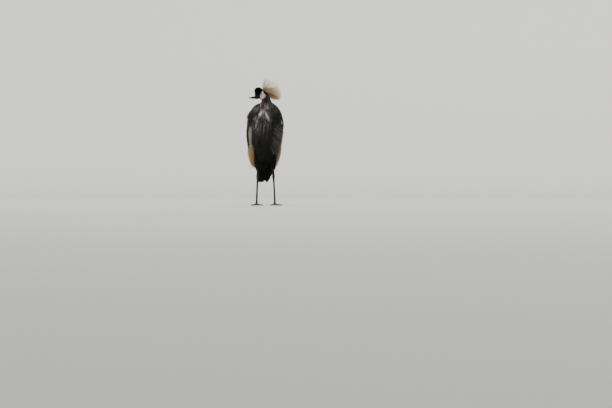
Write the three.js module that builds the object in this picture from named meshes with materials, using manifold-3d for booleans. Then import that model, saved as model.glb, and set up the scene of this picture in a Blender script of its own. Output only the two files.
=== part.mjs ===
// A grey crowned crane standing at rest with its neck drawn in, at life size.
// Millimetres, +Z up. It faces -Y with its head turned to its right, towards -X. Its feet stand on Z = 0.
// Every named part is its own closed mesh, and neighbouring parts keep a small gap.
import * as THREE from 'three';
import { mergeVertices } from 'three/addons/utils/BufferGeometryUtils.js';
import Module from 'manifold-3d';

const wasm = await Module();
wasm.setup();

// Driving dimensions
const GAP = 0.3; // between neighbouring parts
const HOCK_HEIGHT = 199;
const LEAN = 6; // how far the feet stand to the left of the trunk's middle
const HOCK_X = 54.5; // half the distance between the hocks, and between the ankles
const HOCK_Y = 66;
const FOOT_X = 62;
const FOOT_Y = 50;
const HEAD_AT = [-32, -46, 758]; // between the eyes
const HEAD_TURN = 88; // degrees, from straight ahead towards the bird's right
const BILL_LENGTH = 54;
const CREST_LENGTH = 118;
const EYE_RADIUS = 6;
const VANE_THICK = 0.8;

// Colours
const SLATE = 0x5b5d60;
const PEARL = 0xb9b7b2;
const BLACK = 0x111113;
const WHITE = 0xe6e1d6;
const GOLD = 0xc99f5e;
const WATTLE_RED = 0x9c1f26;
const HORN = 0x2a2b2d;
const IRIS = 0xa9c0c8;

const ACROSS = new THREE.Vector3(1, 0, 0);
const radians = THREE.MathUtils.degToRad;
const lerp = THREE.MathUtils.lerp;
const smooth = THREE.MathUtils.smoothstep;

// A seeded random number from 0 to 1, so that every build is the same
let seed = 7;
function random() {
  seed = (seed * 16807) % 2147483647;
  return seed / 2147483647;
}
const vary = (amount) => (random() * 2 - 1) * amount;

// A rounded body strung on a smooth middle line. Each station is [x, y, z, wide, deep]: a point of the
// line and the section's half-sizes, across (along side) and at right angles to that. domes are the shares
// of the length over which the two ends round off.
class Form {
  constructor(stations, { side = ACROSS, domes = [0.1, 0.1] } = {}) {
    const curve = (points) => new THREE.CatmullRomCurve3(points, false, 'catmullrom', 0.5);
    this.middle = curve(stations.map(([x, y, z]) => new THREE.Vector3(x, y, z)));
    this.sizes = curve(stations.map(([, , , wide, deep]) => new THREE.Vector3(wide, deep, 0)));
    this.side = side;
    this.domes = domes;
  }

  section(t) {
    const inside = THREE.MathUtils.clamp(t, 0, 1);
    const along = this.middle.getTangent(inside);
    const side = this.side.clone().addScaledVector(along, -this.side.dot(along)).normalize();
    const up = new THREE.Vector3().crossVectors(side, along);
    const { x: wide, y: deep } = this.sizes.getPoint(inside);
    return { centre: this.middle.getPoint(inside), along, side, up, wide, deep };
  }

  // The share of the length at which the middle line passes a height, for a form that runs downwards
  share(z) {
    let [low, high] = [0, 1];
    for (let i = 0; i < 30; i++) {
      const t = (low + high) / 2;
      if (this.middle.getPoint(t).z > z) low = t;
      else high = t;
    }
    return (low + high) / 2;
  }

  // The point at share t and at an angle in degrees from side towards up, lifted off the surface
  point(t, angle, lift = 0) {
    const { centre, side, up, wide, deep } = this.section(t);
    centre.addScaledVector(side, Math.cos(radians(angle)) * (wide + lift));
    return centre.addScaledVector(up, Math.sin(radians(angle)) * (deep + lift));
  }

  // How much the domed ends narrow the section at t
  dome(t) {
    const narrowed = (share, span) => (share < span ? Math.sqrt(1 - (1 - share / span) ** 2) : 1);
    return Math.max(0.12, narrowed(t, this.domes[0]) * narrowed(1 - t, this.domes[1]));
  }

  geometry(around, rings) {
    const CROWDING = 0.7; // rings lie closer together towards the ends
    const geometry = new THREE.CylinderGeometry(1, 1, 1, around, rings);
    const position = geometry.getAttribute('position');
    for (let i = 0; i < position.count; i++) {
      const share = 0.5 - position.getY(i);
      const t = share - (CROWDING * Math.sin(2 * Math.PI * share)) / (2 * Math.PI);
      const { centre, side, up, wide, deep } = this.section(t);
      centre.addScaledVector(side, position.getX(i) * wide * this.dome(t));
      centre.addScaledVector(up, position.getZ(i) * deep * this.dome(t));
      position.setXYZ(i, centre.x, centre.y, centre.z);
    }
    return geometry;
  }
}

function ellipsoid(centre, radii, turn = [0, 0, 0], around = 14, rings = 10) {
  const geometry = new THREE.SphereGeometry(1, around, rings).scale(...radii);
  geometry.applyMatrix4(new THREE.Matrix4().makeRotationFromEuler(new THREE.Euler(...turn.map(radians))));
  return geometry.translate(...centre);
}

// The same geometry with only its positions, shared corners merged, and every triangle facing outwards
function merged(geometry) {
  const bare = geometry.clone();
  bare.deleteAttribute('normal');
  bare.deleteAttribute('uv');
  const tidy = mergeVertices(bare, 1e-3);
  const corners = [];
  let volume = 0;
  const [a, b, c] = [new THREE.Vector3(), new THREE.Vector3(), new THREE.Vector3()];
  for (let i = 0; i < tidy.index.count; i += 3) {
    const triangle = [0, 1, 2].map((k) => tidy.index.getX(i + k));
    if (new Set(triangle).size < 3) continue;
    [a, b, c].forEach((corner, k) => corner.fromBufferAttribute(tidy.attributes.position, triangle[k]));
    volume += a.dot(b.cross(c));
    corners.push(triangle);
  }
  tidy.setIndex((volume < 0 ? corners.map(([i, j, k]) => [i, k, j]) : corners).flat());
  return tidy;
}

// Moves every face outwards by an amount, which gives the space that a body's neighbours keep clear of
function swell(geometry, amount = GAP) {
  const swollen = merged(geometry);
  swollen.computeVertexNormals();
  const { position, normal } = swollen.attributes;
  const at = (attribute, i) => new THREE.Vector3().fromBufferAttribute(attribute, i);
  const slant = new Array(position.count).fill(1); // how far each corner's own faces lean from its normal
  const corners = Array.from(swollen.index.array);
  for (let i = 0; i < corners.length; i += 3) {
    const triangle = corners.slice(i, i + 3);
    const face = new THREE.Triangle(...triangle.map((k) => at(position, k))).getNormal(new THREE.Vector3());
    for (const k of triangle) slant[k] = Math.min(slant[k], Math.max(0.35, face.dot(at(normal, k))));
  }
  for (let i = 0; i < position.count; i++) {
    const moved = at(position, i).addScaledVector(at(normal, i), amount / slant[i]);
    position.setXYZ(i, moved.x, moved.y, moved.z);
  }
  return swollen;
}

function solid(geometry) {
  const { index, attributes } = merged(geometry);
  return new wasm.Manifold(new wasm.Mesh({
    numProp: 3,
    vertProperties: Float32Array.from(attributes.position.array),
    triVerts: Uint32Array.from(index.array),
  }));
}

const fuse = (geometries) => wasm.Manifold.union(geometries.map(solid));
const cut = (body, geometries) => wasm.Manifold.difference([body, ...geometries.map(solid)]);

// The node's mesh, from the largest closed surface of a body
function node(name, body, color, roughness = 0.8) {
  const largest = body.decompose().reduce((a, b) => (b.volume() > a.volume() ? b : a));
  const { vertProperties, triVerts } = largest.getMesh();
  const geometry = new THREE.BufferGeometry();
  geometry.setAttribute('position', new THREE.BufferAttribute(vertProperties, 3));
  geometry.setIndex(new THREE.BufferAttribute(triVerts, 1));
  const mesh = new THREE.Mesh(geometry, new THREE.MeshStandardMaterial({ color, roughness, metalness: 0 }));
  mesh.name = name;
  return mesh;
}

// The half-width of a feather along its length, as a share of its widest
const lancet = (u) => Math.max(0.1, (0.45 + 0.55 * smooth(u, 0, 0.35)) * Math.sqrt(1 - u ** 2.2));
const paddle = (u) => Math.max(0.14, (0.4 + 0.6 * smooth(u, 0, 0.4)) * Math.sqrt(1 - u ** 7));

// One feather as a thin closed strip over a form, from one [height, angle] to another. Its root, the end of
// its quill and its tip lie at the three lifts over the surface. tilt lowers its edge on the side of rising
// angles.
function vane(form, { from, to, lifts, half, outline = lancet, tilt = 0 }) {
  const QUILL = 0.18;
  const LONG = 135;
  const steps = from[0] - to[0] > LONG ? [0, QUILL, 0.5, 0.82, 1] : [0, QUILL, 0.66, 1];
  const lift = (u) => {
    if (u < QUILL) return lerp(lifts[0], lifts[1], u / QUILL);
    return lerp(lifts[1], lifts[2], ((u - QUILL) / (1 - QUILL)) ** 1.6);
  };
  const ends = [form.share(from[0]), form.share(to[0])];
  const place = (u) => [lerp(...ends, u), lerp(from[1], to[1], u), lift(u)];
  const NEAR = 0.01;
  const corners = [];
  for (const u of steps) {
    const [t, angle] = place(u);
    const centre = form.point(...place(u));
    const [before, after] = [place(Math.max(0, u - NEAR)), place(Math.min(1, u + NEAR))];
    const along = form.point(...after).sub(form.point(...before)).normalize();
    const { side, up, wide, deep } = form.section(t);
    const normal = side.clone().multiplyScalar(Math.cos(radians(angle)) / wide);
    normal.addScaledVector(up, Math.sin(radians(angle)) / deep);
    normal.addScaledVector(along, -normal.dot(along)).normalize();
    normal.applyAxisAngle(along, radians(tilt));
    const across = new THREE.Vector3().crossVectors(normal, along);
    const w = half * outline(u);
    const h = (VANE_THICK / 2) * (u === 1 ? 0.6 : 1);
    for (const [x, y] of [[-w, -h], [w, -h], [w, h], [-w, h]]) {
      corners.push(centre.clone().addScaledVector(across, x).addScaledVector(normal, y));
    }
  }
  const faces = [0, 3, 2, 0, 2, 1];
  const last = corners.length - 4;
  faces.push(last, last + 1, last + 2, last, last + 2, last + 3);
  for (let ring = 0; ring < last; ring += 4) {
    for (let k = 0; k < 4; k++) {
      const [a, b] = [ring + k, ring + ((k + 1) % 4)];
      const [d, c] = [a + 4, b + 4];
      // The upper face takes the same diagonal as the lower one
      faces.push(...(k === 2 ? [a, b, d, b, c, d] : [a, b, c, a, c, d]));
    }
  }
  const geometry = new THREE.BufferGeometry().setFromPoints(corners);
  geometry.setIndex(faces);
  return geometry;
}

// A row of feathers side by side, with the [height, angle] of its first and last roots and tips
function tier(form, { count, roots, tips, scatter = 5, step = 0, lifts, ...feather }) {
  return Array.from({ length: count }, (_, i) => {
    const share = i / (count - 1);
    const between = ([first, last]) => first.map((value, k) => lerp(value, last[k], share));
    const [from, to] = [between(roots), between(tips)];
    to[0] += vary(scatter);
    const stepped = [lifts[0], lifts[1] + i * step, lifts[2] + i * step];
    return vane(form, { ...feather, from, to, lifts: stepped });
  });
}

// The outline of the bird's body with its folded wings, from the base of the neck to the wing tips
const plumage = new Form([
  [3, -40, 694, 42, 42],
  [4, -28, 655, 78, 80],
  [4, -8, 592, 104, 108],
  [2, 22, 512, 117, 114],
  [0, 56, 432, 112, 102],
  [-1, 94, 352, 100, 82],
  [-2, 132, 280, 78, 56],
  [-2, 172, 216, 52, 34],
  [-2, 206, 166, 32, 16],
]);

// The trunk inside it, which leaves room for the wings at its sides
const trunk = new Form([
  [4, -42, 694, 24, 24],
  [4, -30, 656, 66, 70],
  [4, -10, 592, 92, 98],
  [2, 20, 512, 103, 104],
  [0, 52, 436, 95, 90],
  [-1, 88, 364, 70, 64],
  [-1, 116, 306, 36, 32],
], { domes: [0.1, 0.12] });
const trunkGeometry = trunk.geometry(18, 11);

// The neck, drawn in so that it bulges forwards above the breast
const neck = new Form([
  [4, -36, 590, 46, 44],
  [4, -60, 640, 50, 50],
  [3, -62, 680, 38, 38],
  [1.5, -48, 710, 30, 24],
  [-1, -44, 736, 25, 20],
  [-10, -44, 757, 16, 15],
], { domes: [0.05, 0.1] });
const neckGeometry = neck.geometry(14, 9);

// Head, in its own frame: +X towards the bill, +Z up, centred between the cheeks
const HEAD_SIDE = new THREE.Vector3(0, 1, 0);
const headPlace = new THREE.Matrix4()
  .makeRotationZ(radians(-90 - HEAD_TURN))
  .setPosition(...HEAD_AT);
const inBody = (geometry) => geometry.clone().applyMatrix4(headPlace);

const skull = new Form([
  [40, 0, -25.7, 8.8, 10.8],
  [32, 0, -25, 12.5, 13.5],
  [18, 0, -18, 18, 20],
  [3, 0, -12, 21.5, 30],
  [-13, 0, -11, 22.5, 31],
  [-30, 0, -13, 19, 25],
  [-43, 0, -15, 12, 15],
], { side: HEAD_SIDE, domes: [0, 0.2] });
const skullGeometry = skull.geometry(14, 9);
const CUSHION = { at: [19, 0, 15], radii: [26.5, 19.5, 26.5] };
const cushionGeometry = ellipsoid(CUSHION.at, CUSHION.radii, [0, 0, 0], 12, 8);
// The brow joins the cushion to the bill, and a jowl carries each bare cheek
const BROW = { at: [25, 0, -9], radii: [20.5, 12, 15] };
const JOWL = { at: [-9.5, 12, -22], radii: [20, 11.5, 20.5] };
const browGeometry = ellipsoid(BROW.at, BROW.radii, [0, 0, 0], 8, 5);
const jowlGeometries = [1, -1].map((s) => {
  const [x, y, z] = JOWL.at;
  return ellipsoid([x, y * s, z], JOWL.radii, [0, 0, 0], 10, 6);
});
const CHEEKS = [
  { at: [-9.5, 24, -20.5], radii: [21.5, 15, 22] },
  { at: [-7, 19, 3], radii: [7.5, 13, 16] },
];
const EYE = { x: 4, y: 16.8, z: -3 };
const LIDS = { radius: EYE_RADIUS - 0.2, thick: 1.3, y: EYE.y + 2.6 };
const CROWN = { at: [-27, 0, 15], radii: [20, 17, 14], slope: 36 }; // the patch that carries the crest

const BILL_BASE = { x: 34, z: -25.5 };
const bill = new Form([
  [BILL_BASE.x, 0, BILL_BASE.z, 7.2, 9.6],
  [BILL_BASE.x + BILL_LENGTH * 0.26, 0, -26.4, 6.2, 8.8],
  [BILL_BASE.x + BILL_LENGTH * 0.51, 0, -28, 4.9, 6.9],
  [BILL_BASE.x + BILL_LENGTH * 0.78, 0, -29.5, 3.2, 4.2],
  [BILL_BASE.x + BILL_LENGTH, 0, -30.2, 1.2, 1.4],
], { side: HEAD_SIDE, domes: [0, 0.06] });

// The space of one bare cheek, grown by an amount
function cheekSpace(s, extra) {
  return CHEEKS.map(({ at: [x, y, z], radii }) => (
    ellipsoid([x, y * s, z], radii.map((r) => r + extra), [0, 0, 0], 10, 7)
  ));
}

function buildHead(group) {
  const sides = { left: 1, right: -1 };
  const eyes = {};
  const lids = [];
  for (const [name, s] of Object.entries(sides)) {
    const eyeRadii = [EYE_RADIUS, EYE_RADIUS, EYE_RADIUS];
    eyes[name] = ellipsoid([EYE.x, EYE.y * s, EYE.z], eyeRadii, [90, 0, 0], 12, 7);
    const lid = new THREE.TorusGeometry(LIDS.radius, LIDS.thick, 4, 14).rotateX(Math.PI / 2);
    lids.push(lid.translate(EYE.x, LIDS.y * s, EYE.z));
  }
  const billGeometry = bill.geometry(12, 8);
  const crown = ellipsoid(CROWN.at, CROWN.radii, [0, CROWN.slope, 0], 12, 7);
  const flesh = fuse([skullGeometry, cushionGeometry, browGeometry, ...jowlGeometries, ...lids]);
  const head = cut(flesh, [
    swell(eyes.left), swell(eyes.right), swell(billGeometry), swell(crown),
    ...cheekSpace(1, GAP), ...cheekSpace(-1, GAP),
  ]);
  group.add(node('head', head, BLACK));
  for (const [name, s] of Object.entries(sides)) {
    const cheek = cut(flesh.intersect(fuse(cheekSpace(s, 0))), [swell(eyes[name]), swell(crown)]);
    group.add(node(`cheek_${name}`, cheek, WHITE, 0.7));
    group.add(node(`eye_${name}`, solid(eyes[name]), IRIS, 0.1));
  }
  buildCrest(group, flesh.intersect(solid(crown)));
  buildBill(group, billGeometry);
}

// The crest: stiff bristles that fan out backwards and upwards from the hind crown
function buildCrest(group, scalp) {
  const COUNT = 43;
  const GOLDEN_ANGLE = 137.508;
  const ROOTS = { t: 0.75, angle: 90, back: 0.08, aside: 20, depth: 2.5 }; // a patch of the skull's top
  const RISE = { rearmost: -24, foremost: 90 };
  const SPREAD = 30;
  const bristles = [];
  for (let i = 0; i < COUNT; i++) {
    const reach = Math.sqrt((i + 0.5) / COUNT);
    const turn = radians(i * GOLDEN_ANGLE);
    const [backward, sideways] = [reach * Math.cos(turn), reach * Math.sin(turn)];
    const forward = (1 - backward) / 2; // from 0 at the rearmost root to 1 at the foremost
    const [t, angle] = [ROOTS.t + backward * ROOTS.back, ROOTS.angle + sideways * ROOTS.aside];
    const root = skull.point(t, angle, -ROOTS.depth);
    const rise = radians(lerp(RISE.rearmost, RISE.foremost, forward ** 1.5) + vary(4));
    const spread = radians(sideways * SPREAD + vary(4));
    const shortened = 1 - 0.27 * forward - 0.35 * (1 - forward) ** 6; // at both ends of the fan
    const length = CREST_LENGTH * shortened * (1 + vary(0.05));
    const backwards = -Math.cos(rise) * Math.cos(spread);
    const heading = new THREE.Vector3(backwards, -Math.sin(spread), Math.sin(rise));
    const droop = new THREE.Vector3(0, 0, -0.08 * length);
    const bristle = new THREE.CylinderGeometry(0.3, 0.85, 1, 3, 2);
    const position = bristle.getAttribute('position');
    const across = new THREE.Vector3().crossVectors(heading, HEAD_SIDE).normalize();
    const over = new THREE.Vector3().crossVectors(heading, across);
    for (let k = 0; k < position.count; k++) {
      const u = position.getY(k) + 0.5;
      const point = root.clone().addScaledVector(heading, u * length).addScaledVector(droop, u * u);
      point.addScaledVector(across, position.getX(k)).addScaledVector(over, position.getZ(k));
      position.setXYZ(k, point.x, point.y, point.z);
    }
    bristles.push(bristle);
  }
  group.add(node('crest', scalp.add(fuse(bristles)), GOLD, 0.6));
}

// The bill, parted along the mouth, with a nostril slit on each side
function buildBill(group, geometry) {
  const MOUTH = { gap: 0.5, drop: 3, slope: 3 };
  const NOSTRIL = { x: BILL_BASE.x + 18, y: 5.4, z: -25, radii: [4.6, 1.8, 1.2], slope: 6 };
  const mouth = new THREE.BoxGeometry(160, 40, MOUTH.gap).rotateY(radians(MOUTH.slope));
  mouth.translate(BILL_BASE.x, 0, BILL_BASE.z - MOUTH.drop);
  const nostrils = [1, -1].map((s) => (
    ellipsoid([NOSTRIL.x, NOSTRIL.y * s, NOSTRIL.z], NOSTRIL.radii, [0, NOSTRIL.slope, 0], 10, 6)
  ));
  const halves = cut(solid(geometry), [mouth, ...nostrils]).decompose()
    .filter((half) => half.volume() > 50)
    .sort((a, b) => b.boundingBox().max[2] - a.boundingBox().max[2]);
  group.add(node('bill_upper', halves[0], HORN, 0.4));
  group.add(node('bill_lower', halves[1], HORN, 0.4));
}

// The red wattle: two hanging lobes with folds across them, against the front of the neck
function buildWattle() {
  const lobe = (shift, length, size) => new Form([
    [-15 + shift * 0.5, -66, 716, 4 * size, 4],
    [-20 + shift, -83, 703, 7 * size, 5],
    [-27 + shift * 1.3, -99, 686 - length * 0.2, 8.5 * size, 5.5],
    [-34 + shift * 1.5, -110, 668 - length * 0.6, 7.5 * size, 5.5],
    [-38 + shift * 1.6, -114, 656 - length, 4.5 * size, 4],
  ], { domes: [0.1, 0.2] });
  const lobes = [lobe(-2.6, 0, 0.65), lobe(2.6, 5, 0.75)];
  const folds = lobes.flatMap((form, i) => [0.42, 0.68].map((t) => {
    const { centre, wide, deep } = form.section(t + i * 0.05);
    return ellipsoid(centre.toArray(), [wide + 0.7, deep + 0.7, 3.2], [20, 0, 0], 8, 5);
  }));
  const whole = fuse([...lobes.map((form) => form.geometry(7, 7)), ...folds]);
  return node('wattle', cut(whole, [swell(neckGeometry), ...headKeepOut]), WATTLE_RED, 0.5);
}

const headKeepOut = [skullGeometry, cushionGeometry, ...jowlGeometries].map((geometry) => (
  inBody(swell(geometry))
));

// The surface on which the hackles lie, from the neck down over the breast. Lower down it hangs clear of
// the trunk.
const bib = new Form([
  [2, -51, 706, 32, 27],
  [3, -61, 680, 40, 39],
  [4, -46, 640, 70, 69],
  [4, -14, 592, 98, 109],
  [2, 18, 512, 110, 116],
  [0, 44, 440, 100, 102],
  [-1, 50, 392, 86, 92],
  [-1, 56, 350, 74, 86],
]);

// The neck carries the upper hackles, and the trunk the lower ones
const NECK_HACKLES = [
  {
    count: 6, roots: [[672, -146], [672, -34]], tips: [[590, -124], [590, -58]],
    lifts: [-9, -1, 2], half: 9, tilt: 8, scatter: 9,
  },
  {
    count: 4, roots: [[696, -92], [696, -26]], tips: [[632, -96], [632, -40]],
    lifts: [-6, 2.5, 5.5], half: 9.5, tilt: 8, scatter: 9,
  },
];
const TORSO_HACKLES = [
  {
    count: 7, roots: [[500, -124], [500, -56]], tips: [[372, -124], [372, -52]],
    lifts: [-20, -10, -8], half: 12, tilt: 8, scatter: 9,
  },
  {
    count: 8, roots: [[560, -126], [560, -54]], tips: [[430, -126], [430, -46]],
    lifts: [-18, -8, -3.5], half: 12, tilt: 8, scatter: 9,
  },
  {
    count: 7, roots: [[606, -124], [606, -56]], tips: [[500, -122], [500, -50]],
    lifts: [-18, -7.5, -3.5], half: 12, tilt: 8, scatter: 9,
  },
];
const MANTLE = {
  count: 7, roots: [[674, 40], [674, 140]], tips: [[634, 36], [634, 144]],
  lifts: [-22, 5, 6], half: 13, tilt: 6,
};

function buildNeck() {
  const hackles = NECK_HACKLES.flatMap((row) => tier(bib, row));
  const body = cut(fuse([neckGeometry, ...hackles]), [swell(trunkGeometry), ...headKeepOut]);
  return node('neck', body, PEARL);
}

function buildTorso() {
  const hackles = TORSO_HACKLES.flatMap((row) => tier(bib, row));
  return node('torso', fuse([trunkGeometry, ...hackles, ...tier(plumage, MANTLE)]), SLATE);
}

// A folded wing: the arm with its small feathers as one curved slab over the flank, and the feathers in
// tiers
function wingSlab() {
  const slab = new THREE.BoxGeometry(1, 1, 1, 6, 6, 1);
  const position = slab.getAttribute('position');
  for (let i = 0; i < position.count; i++) {
    const [u, v, w] = [position.getX(i) + 0.5, position.getY(i) + 0.5, position.getZ(i) + 0.5];
    const t = lerp(0.1, 0.64, u);
    const low = lerp(-46, -12, u ** 1.3) + 12 * (1 - smooth(u, 0, 0.2));
    const high = lerp(76, 89.5, u ** 0.5);
    const edge = Math.max(Math.abs(2 * v - 1) ** 4, Math.abs(2 * u - 1) ** 6);
    const outer = -6 * edge;
    const inner = lerp(-18, -13, u ** 0.5);
    const point = plumage.point(t, lerp(low, high, v), lerp(inner, outer, w));
    position.setXYZ(i, point.x, point.y, point.z);
  }
  return slab;
}

const WING_TIERS = [
  { // primaries
    count: 4, roots: [[388, 40], [404, 78]], tips: [[214, 24], [174, 80]],
    lifts: [-10, -8, -5], step: 0.8, half: 10, outline: paddle, tilt: 8,
  },
  { // secondaries
    count: 7, roots: [[404, -6], [440, 78]], tips: [[280, -14], [196, 78]],
    lifts: [-8, -5, -2.5], step: 0.6, half: 13, outline: paddle, tilt: 9,
  },
  { // the straw-gold plumes
    count: 8, roots: [[470, -32], [512, 44]], tips: [[296, -40], [262, 34]],
    lifts: [-7, 3, 7], half: 10, outline: lancet, tilt: 9, scatter: 12,
  },
  { // white coverts
    count: 6, roots: [[586, -36], [600, 36]], tips: [[468, -42], [456, 32]],
    lifts: [-7, 4.5, 8], half: 13, outline: paddle, tilt: 8, scatter: 8,
  },
  { // scapulars
    count: 5, roots: [[622, 44], [628, 86]], tips: [[440, 50], [356, 88]],
    lifts: [-7, 8, 12], half: 12, outline: lancet, tilt: 8, scatter: 12,
  },
];

// Slate plumes over the shoulder: on the left wing they fan outwards from the breast, on the right they
// stand loose
const SHOULDER_TIERS = {
  left: [{
    count: 6, roots: [[640, -31], [478, -31]], tips: [[566, -2], [376, -12]],
    lifts: [-7, 9, 9.5], half: 11, outline: lancet, tilt: 0,
  }],
  right: [{
    count: 5, roots: [[656, -32], [660, 18]], tips: [[598, -40], [588, 14]],
    lifts: [-7, 8, 15], half: 11, outline: lancet, tilt: 8, scatter: 8,
  }],
};

function buildWing(name, s) {
  const feathers = [...WING_TIERS, ...SHOULDER_TIERS[name]].flatMap((row) => tier(plumage, row));
  const pieces = [wingSlab(), ...feathers].map((piece) => piece.scale(s, 1, 1));
  const keepOut = [trunkGeometry, neckGeometry].map((geometry) => swell(geometry));
  keepOut.push(new THREE.BoxGeometry(400, 900, 1200).translate(-s * 199.8, 0, 400));
  return node(`wing_${name}`, cut(fuse(pieces), keepOut), GOLD);
}

// The tail: its flesh at the end of the trunk, and ten feathers in a narrow fan
const tailForm = new Form([
  [-1, 104, 322, 30, 20],
  [-1, 126, 286, 30, 13],
  [-2, 156, 244, 26, 6],
  [-2, 172, 224, 22, 4],
], { domes: [0.1, 0.1] });

function buildTail() {
  const FEATHERS = 10;
  const STEP = { y: 0.96, z: 0.72 }; // each feather lies this much under the one to its right
  const feathers = [];
  for (let i = 0; i < FEATHERS; i++) {
    const place = (i - (FEATHERS - 1) / 2) / (FEATHERS / 2);
    const notch = 14 * Math.exp(-(((place + 0.04) / 0.14) ** 2));
    const tip = 158 + notch + 95 * Math.max(0, place - 0.3); // shorter on the left
    const middle = new Form([
      [1 + place * 18, 140 - i * STEP.y, 268 - i * STEP.z, 1, 1],
      [8 + place * 40, 172 - i * STEP.y, 220 - i * STEP.z, 1, 1],
      [13 + place * 54, 206 - i * STEP.y, tip - 10, 1, 1],
    ]);
    const feather = { from: [268, 90], to: [tip, 90], lifts: [-1, -1, -1], half: 11, outline: paddle };
    feathers.push(vane(middle, feather));
  }
  const whole = fuse([tailForm.geometry(12, 8), ...feathers]);
  return node('tail', cut(whole, [swell(trunkGeometry)]), BLACK);
}

// A leg, from the feathered thigh down to the toes
function buildLeg(group, name, s) {
  const thigh = new Form([
    [LEAN * 0.3 + s * 42, 34, 396, 34, 38],
    [LEAN * 0.5 + s * 45, 40, 340, 30, 34],
    [LEAN * 0.8 + s * 50, 52, 282, 20, 22],
    [LEAN + s * 53, 62, 240, 10.5, 11.5],
  ], { domes: [0.1, 0.14] });
  const shank = new Form([
    [LEAN + s * 52.4, 60, 262, 7, 7.5],
    [LEAN + s * 53.5, 63.5, 228, 7.2, 7.8],
    [LEAN + s * HOCK_X, HOCK_Y, HOCK_HEIGHT + 8, 9.5, 10.5],
    [LEAN + s * HOCK_X, HOCK_Y, HOCK_HEIGHT - 6, 10, 11],
    [LEAN + s * 55.5, 63, 170, 6.8, 7.4],
    [LEAN + s * 58.5, 57, 110, 6.4, 7],
    [LEAN + s * 61, 52, 50, 6.6, 7.2],
    [LEAN + s * FOOT_X, FOOT_Y, 17, 7.4, 7.8],
  ], { domes: [0.03, 0] });
  const shankGeometry = shank.geometry(9, 14);
  const thighGeometry = thigh.geometry(12, 7);
  const thighBody = cut(solid(thighGeometry), [swell(trunkGeometry), swell(shankGeometry)]);
  group.add(node(`thigh_${name}`, thighBody, BLACK));
  group.add(node(`leg_${name}`, solid(shankGeometry), BLACK, 0.5));
  buildFoot(group, name, s, shankGeometry);
}

// The toes as [name, heading in degrees outwards from straight ahead, length, half-thickness]
const TOES = [
  ['inner', -30, 68, 5.6],
  ['middle', 2, 92, 6.2],
  ['outer', 33, 76, 5.6],
  ['hind', 172, 34, 4.8],
];
const CLAW_LENGTH = 13;

function buildFoot(group, name, s, shankGeometry) {
  const toes = [];
  const claws = [];
  for (const [toe, heading, length, thick] of TOES) {
    const turn = radians(heading);
    const ahead = new THREE.Vector3(s * Math.sin(turn), -Math.cos(turn), 0);
    const side = new THREE.Vector3(ahead.y, -ahead.x, 0);
    const ankle = new THREE.Vector3(LEAN + s * FOOT_X, FOOT_Y, 0);
    const at = (distance, height) => ankle.clone().addScaledVector(ahead, distance).setZ(height).toArray();
    const form = new Form([
      [...at(0, 12), thick * 1.15, thick * 1.1],
      [...at(length * 0.25, 7), thick, thick * 0.95],
      [...at(length * 0.5, thick * 0.8), thick * 0.95, thick * 0.9],
      [...at(length * 0.75, thick * 0.72), thick * 0.85, thick * 0.82],
      [...at(length, thick * 0.66), thick * 0.72, thick * 0.72],
    ], { side, domes: [0.1, 0.08] });
    toes.push(form.geometry(6, 5));
    const claw = new Form([
      [...at(length - 3, thick * 0.75), 2.6, 2.8],
      [...at(length + CLAW_LENGTH * 0.5, thick * 0.8), 2, 2.2],
      [...at(length + CLAW_LENGTH, 1.5), 0.7, 0.7],
    ], { side, domes: [0, 0.1] });
    claws.push([toe, claw.geometry(6, 3)]);
  }
  const underFloor = new THREE.BoxGeometry(400, 400, 60).translate(LEAN + s * FOOT_X, FOOT_Y, -30);
  const ball = ellipsoid([LEAN + s * FOOT_X, FOOT_Y, 12], [9, 10, 10], [0, 0, 0], 8, 6);
  const clawSpaces = claws.map(([, claw]) => swell(claw));
  const foot = cut(fuse([ball, ...toes]), [underFloor, swell(shankGeometry), ...clawSpaces]);
  group.add(node(`foot_${name}`, foot, BLACK, 0.5));
  for (const [toe, claw] of claws) group.add(node(`claw_${name}_${toe}`, solid(claw), HORN, 0.35));
}

const crane = new THREE.Group();
const headGroup = new THREE.Group();
headGroup.applyMatrix4(headPlace);
buildHead(headGroup);
crane.add(buildTorso(), buildNeck(), headGroup, buildWattle(), buildTail());
for (const [name, s] of Object.entries({ left: 1, right: -1 })) {
  crane.add(buildWing(name, s));
  const leg = new THREE.Group();
  buildLeg(leg, name, s);
  crane.add(leg);
}

// The origin is the middle of the underside of the bounding box
crane.updateMatrixWorld(true);
const box = new THREE.Box3().setFromObject(crane, true);
crane.position.set(-(box.min.x + box.max.x) / 2, -(box.min.y + box.max.y) / 2, 0);

export default crane;
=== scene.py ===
# A grey crowned crane standing at rest with its neck drawn in, as a still life-size model in a pale studio.
# Shapes are worked out in millimetres in the bird's own frame: +Z is up, the bird faces -Y and its head is
# turned towards -X. Meshes are made in metres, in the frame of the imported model.
import math

import bpy
import numpy as np
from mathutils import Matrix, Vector


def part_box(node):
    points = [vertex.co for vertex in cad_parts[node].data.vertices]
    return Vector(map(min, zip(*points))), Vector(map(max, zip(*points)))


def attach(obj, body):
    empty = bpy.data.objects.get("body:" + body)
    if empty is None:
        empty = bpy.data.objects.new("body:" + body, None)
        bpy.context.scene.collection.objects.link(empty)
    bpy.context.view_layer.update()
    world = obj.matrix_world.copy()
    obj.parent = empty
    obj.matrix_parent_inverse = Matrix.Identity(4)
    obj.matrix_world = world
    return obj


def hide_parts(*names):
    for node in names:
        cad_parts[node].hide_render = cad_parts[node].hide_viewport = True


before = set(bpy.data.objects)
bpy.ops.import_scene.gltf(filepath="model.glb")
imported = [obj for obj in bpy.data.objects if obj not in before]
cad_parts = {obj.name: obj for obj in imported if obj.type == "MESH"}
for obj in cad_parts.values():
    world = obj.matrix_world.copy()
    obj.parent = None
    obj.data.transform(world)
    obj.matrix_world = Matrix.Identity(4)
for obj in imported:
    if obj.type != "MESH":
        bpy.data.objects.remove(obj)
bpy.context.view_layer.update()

# Driving dimensions, in millimetres and degrees
MM = 0.001
HOCK_HEIGHT = 199
LEAN = 6
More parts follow.
